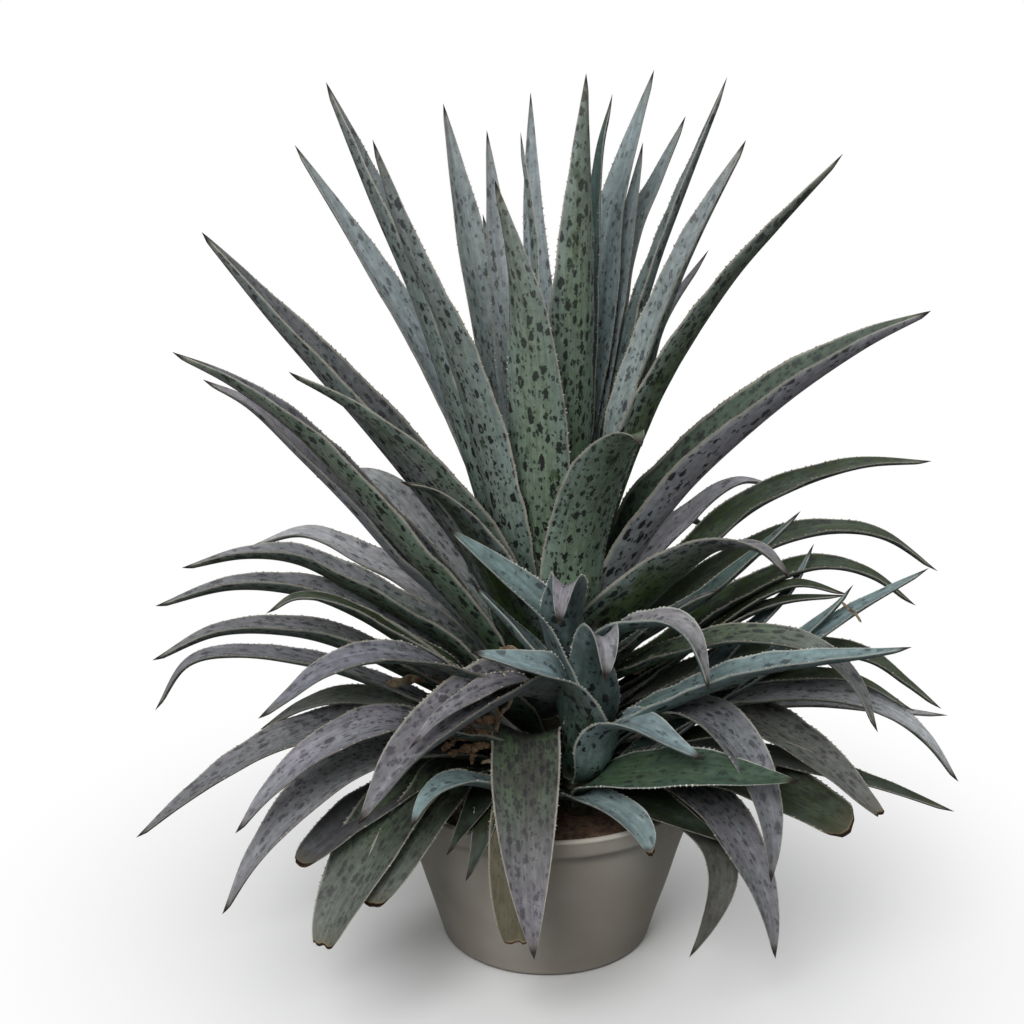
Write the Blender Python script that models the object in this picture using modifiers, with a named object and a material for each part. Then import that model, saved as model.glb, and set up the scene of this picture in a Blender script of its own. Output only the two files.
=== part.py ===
"""Potted mangave: a spotted, channel-leaved rosette on a short stem, with a blue-green
offset beside it, in a plain tapered stoneware pot. Metres, +Z up, origin at the centre
of the pot's base."""

import math

import bmesh
import bpy
from mathutils import Vector

# Pot
POT_HEIGHT = 0.205
POT_TOP_RADIUS = 0.185
POT_FOOT_RADIUS = 0.125
POT_WALL = 0.009
POT_FLOOR = 0.014
RIM_DROP = 0.026
RIM_STEP = 0.005
DRAIN_RADIUS = 0.008
DRAIN_RING = 0.062
DRAIN_COUNT = 4
DRAIN_STEPS = 20
POT_STEPS = 48
POT_CHAMFER = 0.003
FOOT_CHAMFER = 0.005

# Soil, stem and offset crown
GAP = 0.0003
FOOT_GAP = 0.0008
SOIL_LEVEL = 0.195
SOIL_EDGE_DROP = 0.006
SOIL_FLAT_RADIUS = 0.14
STEM_RADIUS = 0.028
STEM_TOP_RADIUS = 0.014
STEM_HEIGHT = 0.245
STEM_SHOULDER = 0.16
STEM_DEPTH = 0.07
STEM_STEPS = 40
OFFSET_CENTRE = (0.034, -0.086)
OFFSET_RADIUS = 0.016
OFFSET_TOP_RADIUS = 0.007
OFFSET_HEIGHT = 0.058
OFFSET_SHOULDER = 0.03
OFFSET_STEPS = 16
OFFSET_FOOT = 0.008

# Leaves: stations along the blade, flesh at the base, share of it left at tip and margin
LEAF_STATIONS = 12
SPLINE_STEPS = 16
LEAF_FLESH = 0.0052
TIP_FLESH = 0.35
MARGIN_FLESH = 0.35
BASE_NECK = 0.74
NECK_REACH = 0.4
NECK_POWER = 1.3
TAPER_REACH = 0.6
TAPER_POWER = 0.9
OUTWARD_PULL = 0.3
ROLL_REACH = 0.45
CHANNEL_REACH = 0.15
TIP_WIDTH = 0.0016
CHANNEL_POWER = 1.5
CM = 0.01

# One row a leaf: azimuth of its outer face in degrees (0 is +X, 90 is +Y), height of its
# foot above the soil, blade width, depth of the channel as a share of the half width, roll
# in degrees, and the points that the midrib passes, as (x, y, height above soil). All in cm.
LEAVES = {
    # erect leaves round the heart
    "leaf_01": (138, 19.5, 6.0, 0.40, 0,
         [(-7.4, 7.2, 32.9), (-14.4, 9.6, 47.8), (-20.6, 12.4, 57.9), (-28, 15, 69.6)]),
    "leaf_02": (186, 17, 7.8, 0.70, -14,
         [(-7.5, 0.6, 33.2), (-10.9, 0.8, 45.2), (-14.4, 0.8, 56), (-18.7, 0, 67), (-23, -1, 79)]),
    "leaf_03": (230, 15, 6.4, 0.30, 0,
         [(-4.4, -5.6, 29.4), (-6.8, -7.2, 41.5), (-10.1, -9.4, 53.5), (-14.4, -12, 64.8),
          (-17.5, -14.6, 75.6)]),
    "leaf_04": (116, 20.5, 5.8, 0.30, 0,
         [(-3.4, 7, 33.8), (-6.6, 9.2, 50.2), (-9, 11.4, 61.2), (-11.5, 13.6, 74.4)]),
    "leaf_05": (97, 22, 4.2, 0.30, 0,
         [(-2.2, 3.8, 38), (-4.9, 5, 54.5), (-6, 7, 65.5), (-6.7, 8, 72.5)]),
    "leaf_06": (196, 22, 4.4, 0.30, 0,
         [(-2.7, 0.8, 38), (-1.6, 2, 55), (-1.9, 2.6, 64), (-3.1, 3, 73.2)]),
    "leaf_07": (262, 18, 6.6, 0.30, 0,
         [(-0.6, -5.8, 28), (-1.1, -7.4, 36.4), (-1.8, -8.6, 47.6), (-3, -9.2, 59),
          (-5.7, -9.4, 70.6)]),
    "leaf_08": (302, 21, 6.4, 0.28, 0,
         [(2.1, -2.8, 34), (2.5, -3.2, 46), (2.8, -3.3, 57), (3.1, -3.3, 68), (3.5, -3, 80.2)]),
    "leaf_09": (30, 22.5, 4.0, 0.30, 0,
         [(3.6, 1.6, 37), (4.4, 2.5, 49.5), (5.1, 3.5, 69), (6.5, 4, 77)]),
    "leaf_10": (66, 20, 5.6, 0.30, 0,
         [(3, 5, 37), (5.3, 6.6, 51), (6.5, 7.6, 61.5), (8.2, 8.5, 68.7), (11.2, 10, 78.6)]),
    "leaf_11": (52, 17, 5.8, 0.40, 0,
         [(5.2, 8, 40), (7.3, 10.2, 51.2), (9.4, 11.4, 60.2), (12, 12.8, 66), (15, 13.8, 73)]),
    "leaf_12": (20, 18.5, 5.0, 0.45, -10,
         [(6.2, 2.9, 37.8), (8.6, 4.3, 47.6), (11.3, 5.1, 57.8), (14.4, 5.4, 66.8),
          (18.6, 5.6, 78.5)]),
    "leaf_13": (344, 16.5, 6.8, 0.50, 18,
         [(6.9, -3.8, 38), (9.8, -4, 48.5), (12.4, -3.8, 56.6), (15.4, -3.4, 64.2),
          (20, -2.2, 73.3)]),
    "leaf_14": (332, 13.5, 7.4, 0.30, -10,
         [(5.6, -4, 29), (9.7, -4.9, 42.5), (12.9, -5.8, 50.1), (18.2, -7, 59.4),
          (22.8, -8.3, 65.7), (28.8, -10.2, 73.4)]),
    "leaf_15": (280, 13, 7.2, 0.28, 0,
         [(2.3, -7, 23.5), (2.9, -8.2, 29.4), (4, -10.5, 35.9), (5.4, -13.5, 40.9),
          (6.6, -16.5, 44.3), (7.4, -19, 46.2), (8, -21.3, 46.6), (8.2, -22.6, 45.4)]),
    "leaf_16": (352, 12, 8.8, 0.70, 0,
         [(9.8, -1.4, 27.4), (14.2, -1.6, 34.2), (19.6, -2.4, 40.4), (26.2, -3, 46.6),
          (33.2, -3.6, 51.9), (39.6, -5, 56)]),
    # spreading leaves on the left
    "leaf_17": (178, 14.5, 8.0, 0.60, -16,
         [(-8.4, 1, 25.4), (-14.4, 0.8, 34.2), (-19.7, 0.6, 41.3), (-24.6, 0.4, 47.4),
          (-30, 0.2, 54.2), (-36.8, 0, 63.5)]),
    "leaf_18": (196, 11.5, 7.4, 0.55, -8,
         [(-10.9, -2.8, 22.8), (-16.4, -3.6, 29.6), (-21.7, -4.5, 36.6), (-26.9, -5.5, 43),
          (-33.1, -6.5, 48.4), (-39.1, -8, 52.4)]),
    "leaf_19": (172, 10.5, 7.0, 0.45, 0,
         [(-10.5, 1.8, 19.6), (-16.4, 1.8, 25.4), (-21.9, 1.6, 32.2), (-27.3, 1.4, 38.2),
          (-32.5, 1.4, 43.6), (-37.5, 1.6, 46.6)]),
    "leaf_20": (154, 13.5, 7.0, 0.30, 0,
         [(-6.6, 5, 21.8), (-12, 7.4, 29.3), (-18, 9.2, 33.6), (-25, 10.6, 32.8)]),
    "leaf_21": (214, 12.5, 7.4, 0.30, 12,
         [(-7.1, -5.2, 26.2), (-11.6, -8, 34.4), (-16, -10.4, 40.9), (-21.2, -12.2, 46.8),
          (-27.4, -14.2, 52.6)]),
    "leaf_22": (240, 9.5, 7.2, 0.25, 0,
         [(-3.6, -7, 21.6), (-5.8, -9.6, 28), (-8.8, -12.2, 33.9), (-12, -15, 38.3),
          (-14.6, -17.4, 40.3)]),
    # arching leaves on the left
    "leaf_23": (158, 7.5, 6.8, 0.30, 0,
         [(-13.4, 6, 18.9), (-20.8, 7.6, 23), (-27.4, 8.8, 25.8), (-36, 10, 21.4)]),
    "leaf_24": (182, 8, 6.4, 0.40, 0,
         [(-10.9, -0.8, 16.4), (-16.5, -1, 20.2), (-22.1, -1, 23.6), (-27.7, -1, 26.5),
          (-33.5, -1, 27.1), (-40.5, -1, 25.7)]),
    "leaf_25": (192, 6.4, 6.2, 0.35, 0,
         [(-8, -2.4, 11.8), (-14.2, -3.6, 16.6), (-20.8, -4.2, 21.4), (-27, -4.6, 24.2),
          (-34.6, -5, 25), (-42.8, -6, 23.2)]),
    "leaf_26": (214, 7.2, 5.2, 0.25, 0,
         [(-8.8, -6.4, 15), (-15.6, -9, 19.5), (-22, -11.2, 24), (-26.4, -12.6, 25.8),
          (-29.4, -13.4, 24.8)]),
    "leaf_27": (194, 4.8, 6.0, 0.35, 0,
         [(-8, -2, 9), (-14.3, -3.8, 13.4), (-21.9, -5.2, 17.9), (-28.4, -6.2, 20.2),
          (-35.9, -7.4, 20.6), (-43, -8.8, 18)]),
    "leaf_28": (206, 3.4, 5.6, 0.20, 0,
         [(-7.6, -4.8, 7), (-13.4, -7.4, 12), (-20.8, -9.4, 16.4), (-27, -11, 19),
          (-33.2, -12.2, 19.2), (-37.6, -13, 17.6), (-41.6, -13.4, 13.4)]),
    "leaf_29": (232, 6, 6.6, 0.30, 0,
         [(-5.5, -8.2, 12), (-9.9, -12.1, 16.4), (-14.2, -15.3, 19.4), (-19.2, -18, 21),
          (-23.6, -20, 20.6), (-27, -21, 18.4), (-30.1, -22, 16.4)]),
    # low leaves on the left
    "leaf_30": (180, 1.0, 6.2, 0.25, 0,
         [(-6, -0.8, 3.6), (-12, -2.8, 7.2), (-17.9, -4.6, 9), (-25.6, -7.4, 8.8),
          (-32, -9.6, 7.2), (-39, -12, 3.4), (-45, -14, -0.8)]),
    "leaf_31": (231, 2.4, 6.0, 0.30, 0,
         [(-5, -8.2, 7), (-10.2, -13, 11.4), (-17.6, -17.4, 14.2), (-23.8, -20.2, 12.8),
          (-29, -22.4, 8.8), (-33, -23.6, 4)]),
    "leaf_32": (205, 0.8, 6.2, 0.30, 0,
         [(-9.9, -6.6, 5.8), (-16.4, -12, 8.4), (-21.6, -16.2, 8.6), (-26.6, -20.6, 6),
          (-30.8, -23.2, 1.8), (-34.4, -24.8, -4)]),
    "leaf_33": (239, 0.6, 6.3, 0.25, 0,
         [(-8.7, -9.9, 3.9), (-13.2, -14.1, 4.2), (-16.8, -18.2, 3), (-19.6, -22.6, 0.8),
          (-21.6, -26.5, -1.9), (-22.9, -29.8, -4.8)]),
    "leaf_34": (252, 9, 5.6, 0.42, 0,
         [(-2.2, -10.8, 13.6), (-4.1, -15.1, 15.3), (-5.9, -17.8, 15.6), (-8.8, -20.1, 14.6),
          (-12, -22.3, 13.2), (-15.1, -24.3, 11.8), (-17.6, -26.2, 10.3), (-19.6, -28.2, 8.4)]),
    # hanging leaves in front
    "leaf_35": (268, 5.2, 7.4, 0.28, 0,
         [(-2.3, -11, 10.1), (-2.5, -15, 9.3), (-2.6, -20, 7.1), (-2.5, -24.5, 3.5),
          (-2.2, -27.5, -1.3), (-1.7, -29.5, -6.6)]),
    "leaf_36": (269, 0.9, 5.8, 0.25, 0,
         [(-1.4, -9, 2.4), (-2.5, -14, 3.3), (-3.3, -18.6, 2.6), (-3.5, -22, -0.6),
          (-3.4, -24.2, -4.6), (-3.4, -25.2, -8)]),
    "leaf_37": (322, 1.8, 6.5, 0.25, 0,
         [(10.3, -9.9, 4.4), (15.2, -13.1, 4.3), (18.6, -16.2, 3), (20.8, -19.5, 0.3),
          (22.4, -22.5, -2.4), (23.3, -24.5, -5.4), (23.7, -26, -8.6)]),
    "leaf_38": (312, 7, 5.6, 0.38, 0,
         [(10.2, -8.6, 9.6), (14.3, -12.1, 12.4), (17.4, -15.4, 12.9), (19.8, -18.8, 11.8),
          (21.6, -21.8, 9.4), (22.7, -24, 6.5), (23.1, -25.4, 3.2), (23, -26.2, -0.1)]),
    "leaf_39": (302, 0.8, 4.6, 0.20, 0,
         [(9.4, -10, 1.9), (14.5, -14.9, 2.4), (17.6, -18.6, 0.8), (18.4, -20.6, -1.8),
          (17.8, -21.6, -5), (16.5, -22, -8), (15, -22.2, -10.8)]),
    # spreading and arching leaves on the right
    "leaf_40": (4, 9.6, 6.6, 0.35, 0,
         [(9, 0.6, 19.6), (15.9, 1.4, 25.6), (20.9, 2.2, 30.4), (26.4, 2.8, 33.6),
          (34.3, 3.2, 36.2), (42.5, 3.6, 36.6)]),
    "leaf_41": (36, 13, 6.0, 0.30, 0,
         [(8.2, 7, 19.8), (16.2, 10.8, 27.2), (22, 12.8, 30.9), (27, 14, 30)]),
    "leaf_42": (12, 7, 6.0, 0.35, 0,
         [(8, 2.8, 13.8), (14.9, 3.2, 19.8), (20.5, 3.4, 24), (26.1, 3.4, 27.2),
          (32.3, 3.2, 28.6), (38, 3, 27.7), (43.9, 2.8, 23.8)]),
    "leaf_43": (350, 8.8, 5.8, 0.35, 0,
         [(7.6, -1.6, 13.2), (13, -2.6, 16.4), (19.1, -3.2, 21.2), (25.2, -3.6, 24.9),
          (30.2, -3.8, 26.4), (35.4, -4, 25.2), (40.3, -4.2, 22)]),
    "leaf_44": (344, 5.8, 5.0, 0.25, 0,
         [(7.2, -2.2, 9.4), (12.6, -3.4, 13.8), (20, -5, 19.8), (26, -6.2, 23), (32.3, -7, 23.8)]),
    "leaf_45": (320, 8.6, 5.6, 0.30, 0,
         [(5.8, -5.6, 13.8), (10.6, -8.6, 17.6), (17, -11.2, 21), (23, -13.2, 22.4),
          (28.3, -15.2, 21.7), (32, -17.2, 18.9), (34.3, -18.8, 14.2)]),
    "leaf_46": (357, 4.2, 6.0, 0.35, 0,
         [(7, -1, 8), (12.6, -2.6, 11.8), (20.1, -4.6, 16), (27.8, -6.2, 18), (34.5, -7.6, 17.8),
          (38.9, -8.4, 15.2), (42.9, -9, 12.3)]),
    "leaf_47": (350, 2.0, 6.8, 0.30, 0,
         [(9, -2.8, 7), (16.7, -6.6, 11.2), (24.1, -10, 14.4), (30.6, -12.5, 15.4),
          (36, -14, 14.3), (40.3, -15, 11.3), (43.8, -16, 7)]),
    "leaf_48": (346, 0.9, 5.2, 0.20, 0,
         [(10, -3.8, 3.8), (16, -7.4, 6.7), (23.1, -11.8, 7.7), (30.8, -15.4, 7.5),
          (36.4, -17.4, 6.2), (44.2, -19.4, 3.9)]),
    "leaf_49": (324, 4.8, 6.0, 0.20, 0,
         [(8.4, -8.2, 5.4), (15.2, -13.4, 8.2), (22, -17, 10.1), (26.7, -18.8, 10.2),
          (31.1, -20.4, 8.6), (35.5, -22, 4.9)]),
    "leaf_50": (298, 10.2, 5.4, 0.30, 0,
         [(6.5, -8.5, 19.8), (12.9, -13.1, 28), (17, -16.8, 32.6), (20.9, -20, 34.4),
          (24.1, -22, 32.8)]),
    "leaf_51": (338, 11.0, 4.4, 0.35, 0,
         [(8.2, -4.6, 17.4), (12.6, -6.4, 21.3), (17.1, -7, 24.8), (21.9, -6.6, 29.1),
          (26.9, -6, 34.2)]),
    # leaves on the far side
    "leaf_52": (70, 14, 6.4, 0.30, 0, [(3, 9, 30), (5, 17, 39), (7, 26, 42)]),
    "leaf_53": (100, 10.4, 6.6, 0.30, 0, [(-1.8, 10.8, 24.4), (-4.6, 19.6, 33.6), (-7.4, 29, 35)]),
    "leaf_54": (130, 9, 6.6, 0.30, 0, [(-8, 11.6, 19), (-14, 19, 23), (-21, 27, 20)]),
    "leaf_55": (56, 10, 6.6, 0.30, 0, [(8.4, 12, 19.6), (14, 20, 24), (20, 28, 20)]),
    "leaf_56": (88, 7, 6.8, 0.30, 0, [(0.5, 12, 16), (0, 23, 20), (0, 34, 14)]),
}

# The offset's own leaves, in the same form; their feet sink into the offset's crown
OFFSET_LEAVES = {
    "offset_leaf_1": (185, 4.4, 5.4, 0.50, -35,
         [(2.4, -9.6, 12), (1.6, -10.8, 18.5), (-1, -12.8, 25.5), (-5.5, -14.4, 30.7),
          (-10.6, -15.6, 35.9)]),
    "offset_leaf_2": (262, 5, 4.6, 0.85, 0,
         [(2.2, -11, 14), (1.3, -13, 22.2), (1.7, -16, 28), (1.6, -18.6, 30.6),
          (1.3, -20.4, 30.9), (1, -21.6, 29.7), (0.8, -22, 27.6)]),
    "offset_leaf_3": (312, 4.6, 4.8, 0.50, 0,
         [(4.4, -11, 15.5), (5.3, -13, 20.5), (7.1, -15, 23.9), (9.8, -17, 25.7),
          (12.5, -18.5, 26.4), (14.3, -19.5, 25.3), (15.4, -20, 23), (16.4, -20.2, 19.6)]),
    "offset_leaf_4": (288, 5, 4.4, 0.85, 0,
         [(4.2, -12, 14), (4.6, -14.2, 19.2), (4.9, -17, 22.9), (5.2, -19.6, 25.4),
          (5.5, -21.4, 25.6), (5.6, -22.6, 24.4), (5.5, -23, 22)]),
    "offset_leaf_5": (240, 4, 5.8, 0.50, -24,
         [(3.6, -12.5, 10.5), (2.6, -15, 15.9), (0.8, -17, 19.6), (-1.9, -18.4, 21.4),
          (-4.5, -19.2, 22.5), (-6.6, -19.8, 23.4), (-8.3, -20, 23.9)]),
    "offset_leaf_6": (176, 5, 5.0, 0.35, 0,
         [(2.2, -8.9, 11.5), (0, -9.4, 17), (-3.8, -10.2, 22.2), (-8.1, -11.4, 28)]),
    "offset_leaf_7": (340, 4.8, 5.6, 0.50, 0,
         [(6.9, -10.5, 9.9), (11.3, -13, 13.8), (15.9, -15.5, 17.3), (21.8, -18, 20.8),
          (27.7, -19.8, 22.7), (32.6, -21, 24), (36.6, -22, 25.3)]),
}


def spline_points(points, count):
    """Even stations along the smooth curve through the given points."""
    ends = [2 * points[0] - points[1]] + points + [2 * points[-1] - points[-2]]
    dense = []
    for a, b, c, d in zip(ends, ends[1:], ends[2:], ends[3:]):
        for step in range(SPLINE_STEPS):
            t = step / SPLINE_STEPS
            dense.append(0.5 * (2 * b + (c - a) * t + (2 * a - 5 * b + 4 * c - d) * t ** 2
                                + (3 * b - a - 3 * c + d) * t ** 3))
    dense.append(points[-1])
    runs = [0.0]
    for a, b in zip(dense, dense[1:]):
        runs.append(runs[-1] + (b - a).length)
    stations, here = [], 0
    for index in range(count + 1):
        want = runs[-1] * index / count
        while here < len(runs) - 2 and runs[here + 1] < want:
            here += 1
        share = (want - runs[here]) / (runs[here + 1] - runs[here])
        stations.append(dense[here].lerp(dense[here + 1], share))
    return stations


def blade_share(t):
    """Width of the blade along its length as a share of the widest place."""
    taper = math.sin(math.pi / 2 * min(1.0, (1 - t) / TAPER_REACH)) ** TAPER_POWER
    neck = 1 - BASE_NECK * max(0.0, 1 - t / NECK_REACH) ** NECK_POWER
    return taper * neck


def new_material(name, colour, roughness, metallic=0.0):
    material = bpy.data.materials.new(name)
    material.use_nodes = True
    shader = material.node_tree.nodes["Principled BSDF"]
    shader.inputs["Base Color"].default_value = (*colour, 1)
    shader.inputs["Roughness"].default_value = roughness
    shader.inputs["Metallic"].default_value = metallic
    return material


def add_mesh_object(name, mesh, material, collection):
    thing = bpy.data.objects.new(name, mesh)
    thing.data.materials.append(material)
    collection.objects.link(thing)
    return thing


def turned(name, profile, material, collection, steps=POT_STEPS):
    """A solid turned about Z from a profile that starts and ends on the axis or is closed."""
    outline = bmesh.new()
    corners = [outline.verts.new((radius, 0, height)) for radius, height in profile]
    closed = profile[0][0] > 0
    for a, b in zip(corners, corners[1:] + corners[:1] if closed else corners[1:]):
        outline.edges.new((a, b))
    mesh = bpy.data.meshes.new(name)
    outline.to_mesh(mesh)
    outline.free()
    thing = add_mesh_object(name, mesh, material, collection)
    screw = thing.modifiers.new("Turn", "SCREW")
    screw.steps = steps
    screw.render_steps = steps
    screw.use_merge_vertices = True
    screw.merge_threshold = 0.0001
    screw.use_smooth_shade = True
    return thing


def make_pot(material, collection, operands):
    """A tapered bowl with a stepped rim band, a flat foot and drain holes off its centre."""
    band = POT_HEIGHT - RIM_DROP
    slope = (POT_TOP_RADIUS - POT_FOOT_RADIUS) / POT_HEIGHT
    profile = [
        (0, POT_FLOOR),
        (POT_FOOT_RADIUS + POT_FLOOR * slope - POT_WALL, POT_FLOOR),
        (POT_TOP_RADIUS - POT_WALL, POT_HEIGHT - POT_CHAMFER),
        (POT_TOP_RADIUS - POT_WALL + POT_CHAMFER, POT_HEIGHT),
        (POT_TOP_RADIUS - POT_CHAMFER, POT_HEIGHT),
        (POT_TOP_RADIUS, POT_HEIGHT - POT_CHAMFER),
        (POT_TOP_RADIUS - RIM_DROP * slope, band),
        (POT_TOP_RADIUS - RIM_DROP * slope - RIM_STEP, band - POT_CHAMFER),
        (POT_FOOT_RADIUS + FOOT_CHAMFER * slope, FOOT_CHAMFER),
        (POT_FOOT_RADIUS - FOOT_CHAMFER, 0),
        (0, 0),
    ]
    pot = turned("pot", profile, material, collection)
    for index in range(DRAIN_COUNT):
        turn = math.tau * (index + 0.5) / DRAIN_COUNT
        place = (DRAIN_RING * math.cos(turn), DRAIN_RING * math.sin(turn), POT_FLOOR / 2)
        bpy.ops.mesh.primitive_cylinder_add(
            vertices=DRAIN_STEPS, radius=DRAIN_RADIUS, depth=3 * POT_FLOOR, location=place)
        cutter = bpy.context.object
        cutter.name = f"drain_cutter_{index + 1}"
        cutter.hide_render = True
        cutter.display_type = "WIRE"
        for home in list(cutter.users_collection):
            home.objects.unlink(cutter)
        operands.objects.link(cutter)
        cut = pot.modifiers.new(f"Drain {index + 1}", "BOOLEAN")
        cut.operation = "DIFFERENCE"
        cut.solver = "EXACT"
        cut.object = cutter


def make_soil(material, collection):
    """The soil fills the bowl, with a socket for the stem and a slight fall to the wall."""
    slope = (POT_TOP_RADIUS - POT_FOOT_RADIUS) / POT_HEIGHT
    edge = SOIL_LEVEL - SOIL_EDGE_DROP
    inner_foot = POT_FOOT_RADIUS - POT_WALL
    profile = [
        (0, POT_FLOOR + GAP),
        (0, SOIL_LEVEL - STEM_DEPTH - GAP),
        (STEM_RADIUS + GAP, SOIL_LEVEL - STEM_DEPTH - GAP),
        (STEM_RADIUS + GAP, SOIL_LEVEL),
        (SOIL_FLAT_RADIUS, SOIL_LEVEL),
        (inner_foot + edge * slope - 2 * GAP, edge),
        (inner_foot + POT_FLOOR * slope - 2 * GAP, POT_FLOOR + GAP),
    ]
    return turned("soil", profile[1:] + profile[:1], material, collection)


def make_crowns(stem_material, offset_material, collection):
    """The stem that carries the rosette, and the short crown of the offset beside it."""
    stem = [
        (0, SOIL_LEVEL + STEM_HEIGHT),
        (STEM_TOP_RADIUS, SOIL_LEVEL + STEM_HEIGHT),
        (STEM_RADIUS, SOIL_LEVEL + STEM_SHOULDER),
        (STEM_RADIUS, SOIL_LEVEL - STEM_DEPTH),
        (0, SOIL_LEVEL - STEM_DEPTH),
    ]
    turned("stem", stem, stem_material, collection, steps=STEM_STEPS)
    foot = SOIL_LEVEL + GAP
    crown = [
        (0, foot + OFFSET_HEIGHT),
        (OFFSET_TOP_RADIUS, foot + OFFSET_HEIGHT),
        (OFFSET_RADIUS, foot + OFFSET_SHOULDER),
        (OFFSET_RADIUS, foot),
        (0, foot),
    ]
    offset = turned("offset", crown, offset_material, collection, steps=OFFSET_STEPS)
    offset.location = (*OFFSET_CENTRE, 0)
    return offset


def make_leaf(name, row, centre, foot_radius, material, collection):
    """A blade: a grid bent along its midrib into a channel, then given flesh underneath."""
    azimuth, foot_height, width, channel, roll, via = row
    outward = Vector((math.cos(math.radians(azimuth)), math.sin(math.radians(azimuth)), 0))
    foot = centre + outward * foot_radius + Vector((0, 0, foot_height * CM))
    midrib = [foot] + [Vector((x * CM, y * CM, up * CM)) for x, y, up in via]
    stations = spline_points(midrib, LEAF_STATIONS)
    blade = bmesh.new()
    bmesh.ops.create_grid(blade, x_segments=2, y_segments=LEAF_STATIONS, size=1)
    flesh_of = {}
    for vert in blade.verts:
        across, t = vert.co.x, (vert.co.y + 1) / 2
        index = round(t * LEAF_STATIONS)
        before = stations[max(0, index - 1)]
        after = stations[min(LEAF_STATIONS, index + 1)]
        tangent = (after - before).normalized()
        plan = Vector((tangent.x, tangent.y, 0)) + OUTWARD_PULL * outward
        side = Vector((0, 0, 1)).cross(plan).normalized()
        side = (side - side.dot(tangent) * tangent).normalized()
        face = tangent.cross(side)
        if roll:
            turn = math.radians(roll) * min(1.0, t / ROLL_REACH)
            side, face = (side * math.cos(turn) + face * math.sin(turn),
                          face * math.cos(turn) - side * math.sin(turn))
        half = max(TIP_WIDTH, width * CM * blade_share(t)) / 2
        lift = channel * min(1.0, t / CHANNEL_REACH) * half * abs(across) ** CHANNEL_POWER
        lowest = Vector((0, 0, SOIL_LEVEL))
        vert.co = lowest + stations[index] + side * half * across + face * lift
        flesh_of[vert.index] = (1 - (1 - TIP_FLESH) * t) * (1 - (1 - MARGIN_FLESH) * abs(across))
    mesh = bpy.data.meshes.new(name)
    blade.to_mesh(mesh)
    blade.free()
    leaf = add_mesh_object(name, mesh, material, collection)
    flesh = leaf.vertex_groups.new(name="flesh")
    for index, share in flesh_of.items():
        flesh.add([index], share, "REPLACE")
    solid = leaf.modifiers.new("Flesh", "SOLIDIFY")
    solid.thickness = LEAF_FLESH
    solid.offset = 1
    solid.vertex_group = flesh.name
    mesh.shade_smooth()
    return leaf


def join_offset(offset, material, operands):
    """The offset's leaves grow out of its crown, so all of them are united into one body."""
    centre = Vector((*OFFSET_CENTRE, 0))
    offset.modifiers.new("Triangles", "TRIANGULATE")
    for name, row in OFFSET_LEAVES.items():
        leaf = make_leaf(name, row, centre, OFFSET_FOOT, material, operands)
        leaf.modifiers.new("Triangles", "TRIANGULATE")
        leaf.hide_render = True
        leaf.display_type = "WIRE"
        unite = offset.modifiers.new(f"Unite {name}", "BOOLEAN")
        unite.operation = "UNION"
        unite.solver = "EXACT"
        unite.object = leaf


def make_leaves(material, collection):
    """The rosette's leaves, each with its foot just clear of the stem, which narrows upwards."""
    for name, row in LEAVES.items():
        taper = max(0.0, (row[1] * CM - STEM_SHOULDER) / (STEM_HEIGHT - STEM_SHOULDER))
        radius = STEM_RADIUS + (STEM_TOP_RADIUS - STEM_RADIUS) * taper
        make_leaf(name, row, Vector((0, 0, 0)), radius + FOOT_GAP, material, collection)


def clear_scene():
    for thing in list(bpy.data.objects):
        bpy.data.objects.remove(thing, do_unlink=True)


def main():
    clear_scene()
    collection = bpy.data.collections.new("Potted mangave")
    operands = bpy.data.collections.new("Boolean operands")
    bpy.context.scene.collection.children.link(collection)
    bpy.context.scene.collection.children.link(operands)
    stoneware = new_material("Stoneware", (0.62, 0.59, 0.54), 0.75)
    grit = new_material("Soil", (0.13, 0.08, 0.055), 0.95)
    bark = new_material("Stem", (0.16, 0.12, 0.08), 0.9)
    green = new_material("Leaf", (0.12, 0.17, 0.12), 0.5)
    blue_green = new_material("Offset leaf", (0.12, 0.19, 0.16), 0.5)
    make_pot(stoneware, collection, operands)
    make_soil(grit, collection)
    offset = make_crowns(bark, blue_green, collection)
    join_offset(offset, blue_green, operands)
    make_leaves(green, collection)


main()
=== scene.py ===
# Potted mangave, the looks. Metres, +Z up, everything in the CAD frame.
import math
import random

import bmesh
import bpy
import numpy as np
from mathutils import Matrix, Vector


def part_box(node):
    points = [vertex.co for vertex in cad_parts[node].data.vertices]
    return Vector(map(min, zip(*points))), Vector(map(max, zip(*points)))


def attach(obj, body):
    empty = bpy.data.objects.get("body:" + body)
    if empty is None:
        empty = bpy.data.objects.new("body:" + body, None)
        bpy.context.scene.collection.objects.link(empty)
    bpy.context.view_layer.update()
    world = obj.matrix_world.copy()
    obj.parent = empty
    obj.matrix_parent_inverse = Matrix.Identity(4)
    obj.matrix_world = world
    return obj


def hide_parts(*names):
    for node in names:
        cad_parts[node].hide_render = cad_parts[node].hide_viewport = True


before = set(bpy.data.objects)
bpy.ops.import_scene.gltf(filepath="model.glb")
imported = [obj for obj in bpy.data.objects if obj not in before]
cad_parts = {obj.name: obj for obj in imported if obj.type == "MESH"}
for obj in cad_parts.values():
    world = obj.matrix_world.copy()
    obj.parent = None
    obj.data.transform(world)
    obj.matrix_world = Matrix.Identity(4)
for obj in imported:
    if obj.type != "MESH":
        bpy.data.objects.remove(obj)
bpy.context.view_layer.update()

scene = bpy.context.scene
cm = 0.01
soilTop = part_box("soil")[1].z


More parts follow.
